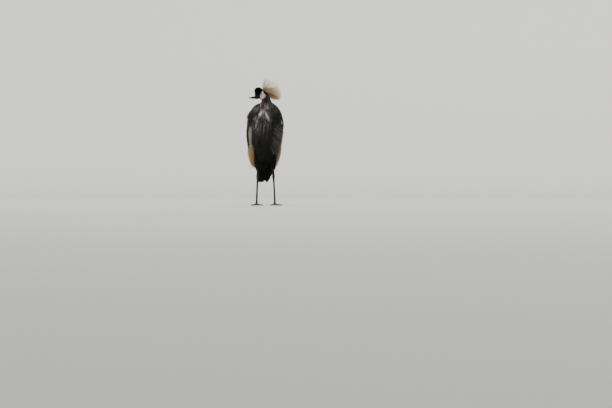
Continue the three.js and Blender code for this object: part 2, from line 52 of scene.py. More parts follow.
HOCK_X = 54.5
HOCK_Y = 66
FOOT_X = 62
FOOT_Y = 50
HEAD_AT = np.array([-32.0, -46.0, 758.0])
HEAD_TURN = 88
BILL_LENGTH = 54
CREST_LENGTH = 118
EYE_RADIUS = 6
EYE = np.array([4.0, 16.8, -3.0])
CLAW_LENGTH = 13
SIDES = {"left": 1, "right": -1}

rng = np.random.default_rng(7)


# Small helpers for arrays
def unit(v):
    return v / np.maximum(np.linalg.norm(v, axis=-1, keepdims=True), 1e-9)


def lerp(a, b, t):
    return a + (b - a) * t


def smooth(x, low, high):
    t = np.clip((x - low) / (high - low), 0, 1)
    return t * t * (3 - 2 * t)


def bell(x, middle, width):
    return np.exp(-(((x - middle) / width) ** 2))


def vary(count, amount):
    return rng.uniform(-amount, amount, count)


def spread(count):
    """Points spread evenly over the unit square, with a little jitter."""
    # Steps by the inverse of the plastic ratio and of its square fill a square evenly
    PLASTIC = 1.32471795724
    steps = np.arange(count)
    a = (0.5 + steps / PLASTIC) % 1
    b = (0.5 + steps / PLASTIC**2) % 1
    jitter = 0.35 / math.sqrt(count)
    return np.clip(a + vary(count, jitter), 0, 1), np.clip(b + vary(count, jitter), 0, 1)


def srgb(red, green, blue):
    """A linear colour from values of 0 to 255."""
    shares = [value / 255 for value in (red, green, blue)]
    return tuple(v / 12.92 if v <= 0.04 else ((v + 0.055) / 1.055) ** 2.4 for v in shares)


class Form:
    """A rounded body strung on a smooth middle line, with stations of (x, y, z, wide, deep)."""

    def __init__(self, stations, side=(1, 0, 0), domes=(0.1, 0.1)):
        self.stations = np.array(stations, float)
        self.side = np.array(side, float)
        self.domes = domes

    def section(self, t):
        """Centre, along, side, up, wide and deep at shares t of the length."""
        p = self.stations
        padded = np.vstack([2 * p[0] - p[1], p, 2 * p[-1] - p[-2]])
        s = np.clip(np.asarray(t, float), 0, 1) * (len(p) - 1)
        i = np.minimum(s.astype(int), len(p) - 2)
        w = (s - i)[..., None]
        before, start, end, after = (padded[i + k] for k in range(4))
        leave, arrive = (end - before) / 2, (after - start) / 2
        square = 3 * (end - start) - 2 * leave - arrive
        cube = 2 * (start - end) + leave + arrive
        value = start + w * (leave + w * (square + w * cube))
        slope = leave + w * (2 * square + 3 * w * cube)
        along = unit(slope[..., :3])
        side = unit(self.side - along * (along @ self.side)[..., None])
        return value[..., :3], along, side, np.cross(side, along), value[..., 3], value[..., 4]

    def share(self, z):
        """The share of the length at which a form that runs downwards passes a height."""
        t = np.linspace(0, 1, 401)
        return np.interp(-np.asarray(z, float), -self.section(t)[0][:, 2], t)

    def point(self, t, angle, lift):
        """The points at some angles round the section, lift above the surface."""
        centre, _, side, up, wide, deep = self.section(t)
        a = np.radians(angle)
        across = side * (np.cos(a) * (wide + lift))[..., None]
        return centre + across + up * (np.sin(a) * (deep + lift))[..., None]

    def normal(self, t, angle):
        _, along, side, up, wide, deep = self.section(t)
        a = np.radians(angle)
        n = side * (np.cos(a) / wide)[..., None] + up * (np.sin(a) / deep)[..., None]
        return unit(n - along * np.sum(n * along, axis=-1, keepdims=True))

    def surface(self, around, rings, inset=0.0):
        """Vertices and quads of the closed body, moved inwards by inset."""
        CROWDING = 0.7
        share = np.linspace(0, 1, rings + 1)
        t = share - CROWDING * np.sin(2 * np.pi * share) / (2 * np.pi)
        ends = zip((t, 1 - t), self.domes)
        first, last = (np.sqrt(1 - (1 - np.minimum(x / max(d, 1e-6), 1)) ** 2) for x, d in ends)
        dome = np.maximum(0.05, first * last)[:, None]
        angle = np.arange(around) * 2 * np.pi / around
        centre, _, side, up, wide, deep = self.section(t)
        x = np.cos(angle)[None, :] * np.maximum(wide - inset, 0.3)[:, None] * dome
        y = np.sin(angle)[None, :] * np.maximum(deep - inset, 0.3)[:, None] * dome
        grid = centre[:, None] + side[:, None] * x[..., None] + up[:, None] * y[..., None]
        return closed_tube(grid)


def closed_tube(grid):
    """Vertices and faces of a tube from a (rings, around, 3) grid, with both ends closed."""
    rings, around = grid.shape[:2]
    first, last = grid[0].mean(axis=0), grid[-1].mean(axis=0)
    vertices = np.vstack([grid.reshape(-1, 3), first, last])
    ring, k = np.meshgrid(np.arange(rings - 1), np.arange(around), indexing="ij")
    a = ring * around + k
    b = ring * around + (k + 1) % around
    quads = np.stack([a, b, b + around, a + around], axis=-1).reshape(-1, 4)
    ends = []
    for k in range(around):
        n = (k + 1) % around
        ends.append([len(vertices) - 2, n, k])
        ends.append([len(vertices) - 1, (rings - 1) * around + k, (rings - 1) * around + n])
    return vertices, [quads, np.array(ends)]


def ellipsoid(centre, radii):
    AROUND, RINGS = 40, 28
    theta = np.linspace(0, np.pi, RINGS + 1)[1:-1]
    phi = np.arange(AROUND) * 2 * np.pi / AROUND
    grid = np.stack([
        np.sin(theta)[:, None] * np.cos(phi),
        np.sin(theta)[:, None] * np.sin(phi),
        np.cos(theta)[:, None] * np.ones(AROUND),
    ], axis=-1)
    return closed_tube(grid * np.array(radii) + np.array(centre))


# The head's own frame has +X towards the bill and +Z up, centred between the cheeks
head_turn = math.radians(-90 - HEAD_TURN)
cosine, sine = math.cos(head_turn), math.sin(head_turn)
HEAD_AXES = np.array([[cosine, -sine, 0], [sine, cosine, 0], [0, 0, 1]])


def head_to_body(points):
    return points @ HEAD_AXES.T + HEAD_AT


def heading_to_body(directions):
    return directions @ HEAD_AXES.T


eye_low, eye_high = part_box("eye_left")
ROW_SHIFT = np.array((eye_low + eye_high) / 2) / MM - head_to_body(EYE)

# Camera: the photo's direction and framing, 6.8 mm to a pixel at the bird
CAMERA_AZIMUTH = -5.0
MM_PER_PIXEL = 6.8
FRAME_PIXELS = 612
camera_turn = math.radians(CAMERA_AZIMUTH)
SIGHT = np.array([math.cos(camera_turn), math.sin(camera_turn), 0])


def seen_across(points):
    """How far to the right of the line between its feet the camera sees each point of the bird."""
    FEET_MIDDLE = 4.07
    return (points + ROW_SHIFT) @ SIGHT - FEET_MIDDLE


# Forms of the bird, the same as the solids'
plumage = Form([
    (3, -40, 694, 42, 42),
    (4, -28, 655, 78, 80),
    (4, -8, 592, 104, 108),
    (2, 22, 512, 117, 114),
    (0, 56, 432, 112, 102),
    (-1, 94, 352, 100, 82),
    (-2, 132, 280, 78, 56),
    (-2, 172, 216, 52, 34),
    (-2, 206, 166, 32, 16),
])
trunk = Form([
    (4, -42, 694, 24, 24),
    (4, -30, 656, 66, 70),
    (4, -10, 592, 92, 98),
    (2, 20, 512, 103, 104),
    (0, 52, 436, 95, 90),
    (-1, 88, 364, 70, 64),
    (-1, 116, 306, 36, 32),
], domes=(0.1, 0.12))
neck = Form([
    (-10, -44, 757, 16, 15),
    (-1, -44, 736, 25, 20),
    (1.5, -48, 710, 30, 24),
    (3, -62, 680, 38, 38),
    (4, -60, 640, 50, 50),
    (4, -36, 590, 46, 44),
], domes=(0.1, 0.05))
bib = Form([
    (2, -51, 706, 32, 27),
    (3, -61, 680, 40, 39),
    (4, -46, 640, 70, 69),
    (4, -14, 592, 98, 109),
    (2, 18, 512, 110, 116),
    (0, 44, 440, 100, 102),
    (-1, 50, 392, 86, 92),
    (-1, 56, 350, 74, 86),
    (-1, 62, 290, 62, 78),
])
tail_root = Form([
    (-1, 104, 322, 30, 20),
    (-1, 126, 286, 30, 13),
    (-2, 156, 244, 26, 6),
    (-2, 172, 224, 22, 4),
])
skull = Form([
    (42, 0, -26.1, 7, 9.4),
    (38, 0, -25.6, 9.6, 11.6),
    (32, 0, -25, 12.5, 13.5),
    (18, 0, -18, 18, 20),
    (3, 0, -12, 21.5, 30),
    (-13, 0, -11, 22.5, 31),
    (-30, 0, -13, 19, 25),
    (-43, 0, -15, 12, 15),
], side=(0, 1, 0), domes=(0, 0.2))
CUSHION = {"at": (19, 0, 15), "radii": (26.5, 19.5, 26.5)}
BROW = {"at": (25, 0, -9), "radii": (20.5, 12, 15)}
JOWL = {"at": (-9.5, 12, -22), "radii": (20, 11.5, 20.5)}
CHEEKS = [
    {"at": (-9.5, 24, -20.5), "radii": (21.5, 15, 22)},
    {"at": (-7, 19, 3), "radii": (7.5, 13, 16)},
]
BILL_BASE = np.array([34, 0, -25.5])
bill = Form([
    (34, 0, -25.5, 7.2, 9.6),
    (34 + BILL_LENGTH * 0.26, 0, -26.4, 6.2, 8.8),
    (34 + BILL_LENGTH * 0.51, 0, -28, 4.9, 6.9),
    (34 + BILL_LENGTH * 0.78, 0, -29.5, 3.2, 4.2),
    (34 + BILL_LENGTH, 0, -30.2, 1.2, 1.4),
], side=(0, 1, 0), domes=(0, 0.06))


def thigh_form(s):
    return Form([
        (LEAN * 0.3 + s * 42, 34, 396, 34, 38),
        (LEAN * 0.5 + s * 45, 40, 340, 30, 34),
        (LEAN * 0.8 + s * 50, 52, 282, 20, 22),
        (LEAN + s * 53, 62, 240, 10.5, 11.5),
    ], domes=(0.1, 0.14))


def shank_form(s):
    return Form([
        (LEAN + s * 52.4, 60, 262, 7, 7.5),
        (LEAN + s * 53.5, 63.5, 228, 7.2, 7.8),
        (LEAN + s * HOCK_X, HOCK_Y, HOCK_HEIGHT + 8, 9.5, 10.5),
        (LEAN + s * HOCK_X, HOCK_Y, HOCK_HEIGHT - 6, 10, 11),
        (LEAN + s * 55.5, 63, 170, 6.8, 7.4),
        (LEAN + s * 58.5, 57, 110, 6.4, 7),
        (LEAN + s * 61, 52, 50, 6.6, 7.2),
        (LEAN + s * FOOT_X, FOOT_Y, 17, 7.4, 7.8),
    ], domes=(0.03, 0.02))


# The toes as (name, heading in degrees outwards from straight ahead, length, half-thickness, joints)
TOES = [
    ("inner", -30, 68, 5.6, 3),
    ("middle", 2, 92, 6.2, 4),
    ("outer", 33, 76, 5.6, 4),
    ("hind", 172, 34, 4.8, 1),
]


def toe_places(s, heading):
    """A function of distance and height along a toe, and the toe's sideways direction."""
    turned = math.radians(heading)
    ahead = np.array([s * math.sin(turned), -math.cos(turned), 0])
    side = np.array([ahead[1], -ahead[0], 0])

    def at(distance, height):
        return (LEAN + s * FOOT_X + ahead[0] * distance, FOOT_Y + ahead[1] * distance, height)

    return at, side


def toe_form(s, heading, length, thick):
    at, side = toe_places(s, heading)
    return Form([
        (*at(0, 12), thick * 1.15, thick * 1.1),
        (*at(length * 0.25, 7), thick, thick * 0.95),
        (*at(length * 0.5, thick * 0.8), thick * 0.95, thick * 0.9),
        (*at(length * 0.75, thick * 0.72), thick * 0.85, thick * 0.82),
        (*at(length, thick * 0.66), thick * 0.72, thick * 0.72),
    ], side=side, domes=(0.1, 0.08))


def claw_form(s, heading, length, thick):
    at, side = toe_places(s, heading)
    return Form([
        (*at(length - 4, thick * 0.7), 3.1, 3.4),
        (*at(length + CLAW_LENGTH * 0.2, thick * 0.85), 2.8, 3),
        (*at(length + CLAW_LENGTH * 0.6, thick * 0.7), 1.9, 2),
        (*at(length + CLAW_LENGTH, 1.2), 0.5, 0.6),
    ], side=side, domes=(0.1, 0.08))


# Meshes
def make_object(name, vertices, faces, material=None, sharp=None):
    """An object in the row frame from millimetre vertices and a list of arrays of triangles or quads."""
    mesh = bpy.data.meshes.new(name)
    mesh.vertices.add(len(vertices))
    mesh.vertices.foreach_set("co", ((vertices + ROW_SHIFT) * MM).astype(np.float32).ravel())
    corners = np.concatenate([f.ravel() for f in faces]).astype(np.int32)
    sizes = np.concatenate([np.full(len(f), f.shape[1]) for f in faces])
    mesh.loops.add(len(corners))
    mesh.loops.foreach_set("vertex_index", corners)
    mesh.polygons.add(len(sizes))
    starts = np.concatenate([[0], np.cumsum(sizes)[:-1]]).astype(np.int32)
    mesh.polygons.foreach_set("loop_start", starts)
    mesh.polygons.foreach_set("use_smooth", np.ones(len(sizes), bool))
    mesh.update(calc_edges=True)
    if sharp:
        mesh.set_sharp_from_angle(angle=math.radians(sharp))
    if material:
        mesh.materials.append(material)
    obj = bpy.data.objects.new(name, mesh)
    bpy.context.scene.collection.objects.link(obj)
    return obj


def joined(pieces):
    """One vertex array and face list from several."""
    vertices, faces, count = [], [], 0
    for v, f in pieces:
        vertices.append(v)
        faces += [part + count for part in f]
        count += len(v)
    return np.vstack(vertices), faces


def grown(name, pieces, voxel, rounds):
    """Vertices and quads of one closed skin over overlapping closed pieces, smoothed."""
    obj = make_object(name, *joined(pieces))
    remesh = obj.modifiers.new("grow", "REMESH")
    remesh.mode = "VOXEL"
    remesh.voxel_size = voxel * MM
    relax = obj.modifiers.new("relax", "SMOOTH")
    relax.factor = 0.5
    relax.iterations = rounds
    evaluated = obj.evaluated_get(bpy.context.evaluated_depsgraph_get())
    mesh = evaluated.to_mesh()
    vertices = np.empty(len(mesh.vertices) * 3, np.float32)
    mesh.vertices.foreach_get("co", vertices)
    corners = np.empty(len(mesh.loops), np.int32)
    mesh.loops.foreach_get("vertex_index", corners)
    evaluated.to_mesh_clear()
    bpy.data.objects.remove(obj)
    return vertices.reshape(-1, 3).astype(float) / MM - ROW_SHIFT, corners.reshape(-1, 4)


def vertex_normals(vertices, quads):
    """Unit normals of a quad mesh's vertices."""
    a, b, c, d = (vertices[quads[:, k]] for k in range(4))
    diagonals = np.cross(c - a, d - b)
    normals = np.zeros_like(vertices)
    for k in range(4):
        np.add.at(normals, quads[:, k], diagonals)
    return unit(normals)


def set_attribute(obj, name, values):
    """Stores an (n, 3) array on the mesh's vertices."""
    attribute = obj.data.attributes.new(name, "FLOAT_VECTOR", "POINT")
    attribute.data.foreach_set("vector", values.astype(np.float32).ravel())


# Materials
class Shader:
    """A material with one Principled shader, and short calls for the nodes that feed it."""

    def __init__(self, name, sockets):
        self.material = bpy.data.materials.new(name)
        self.material.use_nodes = True
        self.tree = self.material.node_tree
        self.surface = self.tree.nodes["Principled BSDF"]
        for socket, value in sockets.items():
            self.surface.inputs[socket].default_value = value

    def feed(self, socket, value):
        if isinstance(value, bpy.types.NodeSocket):
            self.tree.links.new(value, socket)
        else:
            socket.default_value = value

    def node(self, kind, inputs=None, **settings):
        """A new node with its settings, and with values or other nodes' outputs for its inputs."""
        made = self.tree.nodes.new("ShaderNode" + kind)
        for key, value in settings.items():
            setattr(made, key, value)
        for key, value in (inputs or {}).items():
            self.feed(made.inputs[key], value)
        return made

    def math(self, operation, a, b=0.0, clamp=False):
        return self.node("Math", {0: a, 1: b}, operation=operation, use_clamp=clamp).outputs[0]

    def total(self, *values):
        result = values[0]
        for value in values[1:]:
            result = self.math("ADD", result, value)
        return result

    def times(self, a, b):
        return self.math("MULTIPLY", a, b)

    def span(self, value, low, high, start=0.0, end=1.0):
        """Smoothly from start at low to end at high."""
        inputs = {"Value": value, "From Min": low, "From Max": high, "To Min": start, "To Max": end}
        return self.node("MapRange", inputs, interpolation_type="SMOOTHSTEP").outputs[0]

    def mix(self, factor, a, b, blend="MIX"):
        """From a to b, each a colour with values of 0 to 255 or another node's output."""
        inputs = {0: factor, 6: a, 7: b}
        for key in (6, 7):
            if isinstance(inputs[key], tuple):
                inputs[key] = (*srgb(*inputs[key]), 1)
        return self.node("Mix", inputs, data_type="RGBA", blend_type=blend, clamp_factor=True).outputs[2]

    def parts(self, name):
        """The three values of a vertex attribute."""
        vector = self.node("Attribute", attribute_name=name).outputs["Vector"]
        return self.node("SeparateXYZ", {0: vector}).outputs

    def place(self):
        return self.node("TexCoord").outputs["Object"]

    def noise(self, scale, detail, vector=None):
        inputs = {"Vector": vector or self.place(), "Scale": scale, "Detail": detail, "Roughness": 0.5}
        return self.node("TexNoise", inputs).outputs["Fac"]

    def cells(self, scale):
        """The distance to the nearest border between cells of uneven shape."""
        inputs = {"Vector": self.place(), "Scale": scale}
        return self.node("TexVoronoi", inputs, feature="DISTANCE_TO_EDGE").outputs["Distance"]

    def colour(self, value):
        self.feed(self.surface.inputs["Base Color"], value)

    def rough(self, value):
        self.feed(self.surface.inputs["Roughness"], value)

    def bump(self, height, distance):
        """Raises the surface by height times distance, in millimetres."""
        inputs = {"Height": height, "Distance": distance * MM, "Strength": 1.0}
        self.feed(self.surface.inputs["Normal"], self.node("Bump", inputs).outputs[0])


def plume_material(name, dark, light, warm, streak=0.5, uneven=0.8, gloss=0.14):
    """Feathers from dark to light by their tone, with a pale shaft, their own rims and fine barbs, and
    painted shade towards their roots.
    """
    BARB_PITCH = 1.1
    CONTRAST = 1.4
    RIM, MOTTLE = -0.2, 0.8
    shader = Shader(name, {"Roughness": 0.58, "Specular IOR Level": gloss})
    along, across, chance = shader.parts("vane")
    pale, warmth, barb = shader.parts("tone")
    aside = shader.math("ABSOLUTE", across)
    shaft = shader.span(aside, 0.02, 0.25, 1.0, 0.0)
    edge = shader.span(aside, 0.5, 1.0)
    mottle = shader.math("SUBTRACT", shader.noise(70, 3), 0.5)
    personal = shader.math("SUBTRACT", chance, 0.5)
    varied = shader.total(
        shader.times(personal, uneven),
        shader.times(shaft, streak),
        shader.times(edge, RIM),
        shader.times(mottle, MOTTLE),
    )
    level = shader.total(shader.times(pale, shader.math("ADD", varied, 1.0)), shader.times(varied, 0.03))
    level = shader.math("POWER", shader.math("MAXIMUM", level, 0.0), CONTRAST, clamp=True)
    colour = shader.mix(level, dark, light)
    toned = shader.mix(shader.math("MULTIPLY", level, 0.6), warm, light)
    colour = shader.mix(warmth, colour, toned)
    line = shader.times(shader.math("PINGPONG", barb, BARB_PITCH / 2), 2 / BARB_PITCH)
    # Painted shade: each feather darker towards its root, where the feathers above cover it.
    root = shader.span(along, 0.0, 0.3, 0.5, 1.0)
    shade = shader.times(root, shader.span(line, 0.0, 1.0, 0.78, 1.05))
    grey = shader.node("CombineColor", {0: shade, 1: shade, 2: shade}).outputs[0]
    shader.colour(shader.mix(1.0, colour, grey, "MULTIPLY"))
    shader.bump(shader.total(line, shader.times(shaft, 1.5)), 0.06)
    return shader.material


def skin_material():
    """Bare skin: black on the head, white on the cheeks with painted shade low down, scaled on the legs."""
    shader = Shader("skin", {"Roughness": 0.6, "Specular IOR Level": 0.25})
    cheek, leg, scute = shader.parts("zone")
    fine = shader.noise(900, 3)
    coarse = shader.noise(160, 4)
    ragged = shader.times(shader.math("SUBTRACT", shader.noise(420, 3), 0.5), 0.16)
    mask = shader.span(shader.math("ADD", cheek, ragged), 0.0, 0.05)
    black = shader.mix(coarse, (6, 6, 8), (18, 18, 20))
    blotches = shader.span(coarse, 0.3, 0.7)
    white = shader.mix(blotches, (136, 133, 127), (186, 183, 177))
    # Painted shade: the cheek turns yellowish grey low down.
    white = shader.mix(shader.span(scute, 0.34, 0.0, 0.0, 0.8), white, (112, 109, 88))
    white = shader.mix(shader.span(scute, 0.66, 0.8, 0.0, 0.8), white, (186, 136, 116))
    white = shader.mix(shader.span(cheek, 0.14, 0.02), white, (84, 78, 74))
    colour = shader.mix(mask, black, white)
    scale_edge = shader.span(shader.cells(420), 0.0, 0.12)
    groove = shader.span(scute, 0.0, 0.14)
    plates = shader.mix(shader.math("MINIMUM", scale_edge, groove), (4, 4, 4), (19, 19, 20))
    plates = shader.mix(shader.span(coarse, 0.52, 0.8, 0.0, 0.4), plates, (38, 37, 35))
    shader.colour(shader.mix(leg, colour, plates))
    shader.rough(shader.math("SUBTRACT", 0.62, shader.times(leg, 0.18)))
    relief = shader.mix(leg, shader.total(shader.times(fine, 0.5), coarse), shader.times(scale_edge, 1.6))
    shader.bump(relief, 0.3)
    return shader.material


def wattle_material():
    shader = Shader("wattle", {"Roughness": 0.42, "Subsurface Weight": 0.15})
    shader.surface.inputs["Subsurface Radius"].default_value = (0.004, 0.001, 0.0008)
    # Painted shade: the reds are darker than the wattle's own red, and darkest in the creases between the
    # pebbles.
    pebbles = shader.span(shader.cells(650), 0.0, 0.4)
    veins = shader.noise(260, 4)
    red = shader.mix(veins, (70, 8, 13), (126, 20, 27))
    shader.colour(shader.mix(shader.times(pebbles, 0.7), (58, 7, 12), red))
    shader.bump(shader.total(pebbles, shader.times(veins, 0.6)), 0.35)
    return shader.material


def horn_material(name, dark, light, roughness):
    """Layered horn, paler towards the cutting edges."""
    shader = Shader(name, {"Roughness": roughness, "Specular IOR Level": 0.22})
    along, edge, pit = shader.parts("vane")
    grain = shader.noise(500, 3, shader.node("Mapping", {0: shader.place(), 3: (0.25, 1, 1)}).outputs[0])
    colour = shader.mix(grain, dark, light)
    colour = shader.mix(shader.times(edge, 0.08), colour, (96, 98, 92))
    # Painted shade: near black inside the nostril slot.
    shader.colour(shader.mix(pit, colour, (2, 2, 3)))
    shader.rough(shader.span(grain, 0.3, 0.7, roughness - 0.06, roughness + 0.1))
    shader.bump(grain, 0.08)
    return shader.material


def eye_material():
    """A pale iris round a black pupil under a wet surface."""
    shader = Shader("eye", {"Roughness": 0.04, "Coat Weight": 1.0, "Coat Roughness": 0.02})
    radius, turned, _ = shader.parts("vane")
    rays = shader.node("TexNoise", {"Scale": 26.0, "Detail": 3.0, "W": turned}, noise_dimensions="4D")
    iris = shader.mix(rays.outputs["Fac"], (92, 118, 132), (176, 194, 200))
    iris = shader.mix(shader.span(radius, 0.42, 0.54, 1.0, 0.0), iris, (70, 92, 104))
    colour = shader.mix(shader.span(radius, 0.36, 0.4, 1.0, 0.0), iris, (3, 3, 4))
    shader.colour(shader.mix(shader.span(radius, 0.7, 0.8), colour, (20, 18, 18)))
    return shader.material


# Feathers
def lancet(u):
    return np.maximum(0.06, (0.4 + 0.6 * smooth(u, 0, 0.35)) * np.sqrt(np.maximum(0, 1 - u**2.2)))


def hackle(u):
    return np.maximum(0.05, (0.5 + 0.5 * smooth(u, 0, 0.25)) * np.maximum(0, 1 - u**1.8) ** 0.75)


def paddle(u):
    return np.maximum(0.1, (0.35 + 0.65 * smooth(u, 0, 0.35)) * np.sqrt(np.maximum(0, 1 - u**7)))


def oval(u):
    return np.maximum(0.08, (0.35 + 0.65 * smooth(u, 0, 0.45)) * np.sqrt(np.maximum(0, 1 - u**3.5)))


def strand(u):
    return np.maximum(0.15, 1 - u**1.5)


def fitted(value):
    """A value for all, for each feather or each ring, ready to spread over (feathers, rings, corners)."""
    value = np.asarray(value, float)
    return value.reshape(value.shape + (1,) * (3 - value.ndim)) if value.ndim else value


class Coat:
    """Feathers gathered into one mesh, each a thin closed strip mapped at its root's place on the skin."""

    def __init__(self):
        self.batches = []

    def add(self, lines, pale, warm=0.0, thick=0.3, camber=0.22, skew=0.0, ragged=0.0, strands=False):
        """Adds feathers. lines are the middle lines and normals as (feathers, rings, 3), the half-widths as
        (feathers, rings) and the roots' places as (feathers, 2)."""
        PATCH = 0.003
        centre, normal, half, place = lines
        count, rings = half.shape
        along = unit(np.gradient(centre, axis=1))
        across = unit(np.cross(normal, along))
        up = np.cross(along, across)
        wide = np.stack([half * (1 - skew), half * (1 + skew)], axis=-1)
        if ragged:
            wide = wide * (1 - ragged * rng.random(wide.shape) ** 2)
        share = np.linspace(0, 1, rings)
        ridge = centre + up * (camber * half)[..., None]
        belly = up * (thick / 2 * (1 - 0.6 * share))[None, :, None]
        section = [centre - across * wide[..., :1], ridge + belly, centre + across * wide[..., 1:]]
        if not strands:
            section.append(ridge - belly)
        corners = np.stack(section, axis=2)
        around = len(section)
        shape = (count, rings, around)
        sides = np.broadcast_to(np.array([-1.0, 0.0, 1.0, 0.0])[:around], shape)
        shares = np.broadcast_to(share[None, :, None], shape)
        steps = np.linalg.norm(np.diff(centre, axis=1), axis=-1)
        distance = np.concatenate([np.zeros((count, 1)), np.cumsum(steps, axis=1)], axis=1)
        barb = distance[..., None] + np.abs(sides) * half[..., None]
        chance = np.broadcast_to(rng.random((count, 1, 1)), shape)
        tones = [np.broadcast_to(fitted(value), shape) for value in (pale, warm)]
        across_map = place[:, None, None, 0] + sides * PATCH / 2
        along_map = place[:, None, None, 1] + shares * PATCH
        k = np.arange(around)
        after = (k + 1) % around
        band = np.stack([k, k + around, after + around, after], axis=-1)
        start = (np.arange(count) * rings * around)[:, None, None, None]
        ring = (np.arange(rings - 1) * around)[None, :, None, None]
        first = start[:, 0, 0] + k[None]
        last = start[:, 0, 0] + (rings - 1) * around + k[None, ::-1]
        self.batches.append({
            "vertices": corners.reshape(-1, 3),
            "faces": [(start + ring + band).reshape(-1, 4), first, last],
            "vane": np.stack([shares, sides, chance], axis=-1).reshape(-1, 3),
            "tone": np.stack([*tones, barb], axis=-1).reshape(-1, 3),
            "uv": np.stack([across_map, along_map], axis=-1).reshape(-1, 2),
        })

    def add_strands(self, lines, pale, warm=0.0, thick=0.6):
        """Adds barbs, shafts or down: strips of three sides that aren't arched."""
        self.add(lines, pale, warm, thick=thick, camber=0, strands=True)

    def build(self, name, material, nodes=()):
        """The coat as one object that rides on the root body and stands for the named nodes."""
        count, faces = 0, []
        for batch in self.batches:
            faces += [part + count for part in batch["faces"]]
            count += len(batch["vertices"])
        keys = ("vertices", "vane", "tone", "uv")
        gathered = {key: np.vstack([batch[key] for batch in self.batches]) for key in keys}
        obj = make_object(name, gathered["vertices"], faces, MATERIALS[material], sharp=75)
        set_attribute(obj, "vane", gathered["vane"])
        set_attribute(obj, "tone", gathered["tone"])
        layer = obj.data.uv_layers.new(name="OFBake")
        corners = np.concatenate([part.ravel() for part in faces])
        layer.data.foreach_set("uv", gathered["uv"][corners].astype(np.float32).ravel())
        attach(obj, "root")
        if nodes:
            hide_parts(*nodes)


def laid(form, root, tip, lifts, half, outline, rings, tilt=0.0, bow=0.0, side=1):
    """Lines of feathers that lie on a form. root and tip are (feathers, 2) heights and angles, and lifts
    are the heights over the form of root, quill end and tip."""
    QUILL = 0.16
    u = np.linspace(0, 1, rings)[None, :]
    start, end = form.share(root[:, 0])[:, None], form.share(tip[:, 0])[:, None]
    t = lerp(start, end, u)
    angle = lerp(root[:, 1:], tip[:, 1:], u) + np.asarray(bow).reshape(-1, 1) * np.sin(np.pi * u)
    low, quill, high = (np.asarray(value, float).reshape(-1, 1) for value in lifts)
    outer = lerp(quill, high, np.clip((u - QUILL) / (1 - QUILL), 0, 1) ** 1.6)
    lift = np.where(u < QUILL, lerp(low, quill, u / QUILL), outer)
    centre = form.point(t, angle, lift)
    normal = form.normal(t, angle)
    along = unit(np.gradient(centre, axis=1))
    lean = np.radians(np.asarray(tilt, float)).reshape(-1, 1, 1)
    normal = normal * np.cos(lean) + np.cross(along, normal) * np.sin(lean)
    if side < 0:
        centre = centre * np.array([-1, 1, 1])
        normal = normal * np.array([-1, 1, 1])
    widths = np.asarray(half, float).reshape(-1, 1) * outline(u) * np.ones((len(root), 1))
    place = np.stack([(root[:, 1] / 360 * side) % 1, start[:, 0]], axis=-1)
    return centre, normal, widths, place


def patch(count, heights, angles, reach, flare=1.0, loose=8, stray=3):
    """Roots and tips of feathers that cover a patch of a form that runs downwards. heights are the patch's
    top and bottom, angles its two sides at top and bottom, and reach is the feathers' fall at both."""
    a, b = spread(count)
    z = lerp(heights[0], heights[1], a) + vary(count, loose)
    sides = [lerp(angles[0][k], angles[1][k], a) for k in (0, 1)]
    angle = lerp(sides[0], sides[1], b)
    middle = (sides[0] + sides[1]) / 2
    fall = lerp(reach[0], reach[1], a) * (1 + vary(count, 0.2))
    tip_angle = middle + (angle - middle) * flare + vary(count, stray)
    return np.stack([z, angle], axis=-1), np.stack([z - fall, tip_angle], axis=-1)


def wisps(form, root, tip, lifts, count, reach, stray, side=1):
    """Thin loose barbs beside given feathers: each follows one of them and strays from it."""
    pick = rng.integers(0, len(root), count)
    shift = np.stack([vary(count, reach * 0.2), vary(count, stray)], axis=-1)
    away = np.stack([vary(count, reach * 0.2), vary(count, stray * 1.6)], axis=-1)
    low, quill, high = (np.broadcast_to(np.asarray(v, float), len(root))[pick] for v in lifts)
    raised = (low, quill + rng.uniform(0, 1.5, count), high + rng.uniform(0, 3.5, count))
    half = rng.uniform(0.5, 0.9, count)
    bow = vary(count, stray)
    start, end = root[pick] + shift, tip[pick] + away
    return laid(form, start, end, raised, half, strand, rings=6, bow=bow, side=side)


def shafts(coat, lines, pale, warm=0.0):
    """A raised shaft along the middle of each large feather."""
    LIFT, ARCH = 0.35, 0.22
    centre, normal, half, place = lines
    raised = centre + normal * (LIFT + ARCH * half)[..., None]
    taper = np.linspace(0.9, 0.25, half.shape[1])[None, :] * np.ones((len(half), 1))
    coat.add_strands((raised[:, :-1], normal[:, :-1], taper[:, :-1], place), pale, warm, thick=0.9)


def root_angles(lines, side=1):
    """The angles of the feathers' roots round their form, from -180 to 180 degrees, as one column."""
    return ((lines[3][:, :1] * side + 0.5) % 1 - 0.5) * 360


# Neck and breast
ALL_ROUND = ((-180, 180), (-180, 180))


def throat_streaks(points):
    """How pale the streaks are that fan out below the throat, as the camera sees them."""
    x, z = seen_across(points) + 10, 690 - points[..., 2]
    reach = np.hypot(x, z)
    turned = np.degrees(np.arctan2(x, z))
    open_out = np.clip((reach - 58) / 60, -0.5, 1.2)
    left = bell(turned, -lerp(15, 28, open_out), 8)
    right = bell(turned, lerp(9, 20, open_out), 5)
    upper = 0.6 * bell(turned, -2, 15) * (1 - smooth(reach, 52, 78))
    spots = 0.75 * bell(reach, 92, 9) * bell(turned, -3, 9) * smooth(np.sin(turned * 1.3), -0.1, 0.6)
    fans = np.maximum.reduce([left, right, upper, spots])
    return fans * smooth(reach, 4, 24) * (1 - smooth(reach, 96, 150))


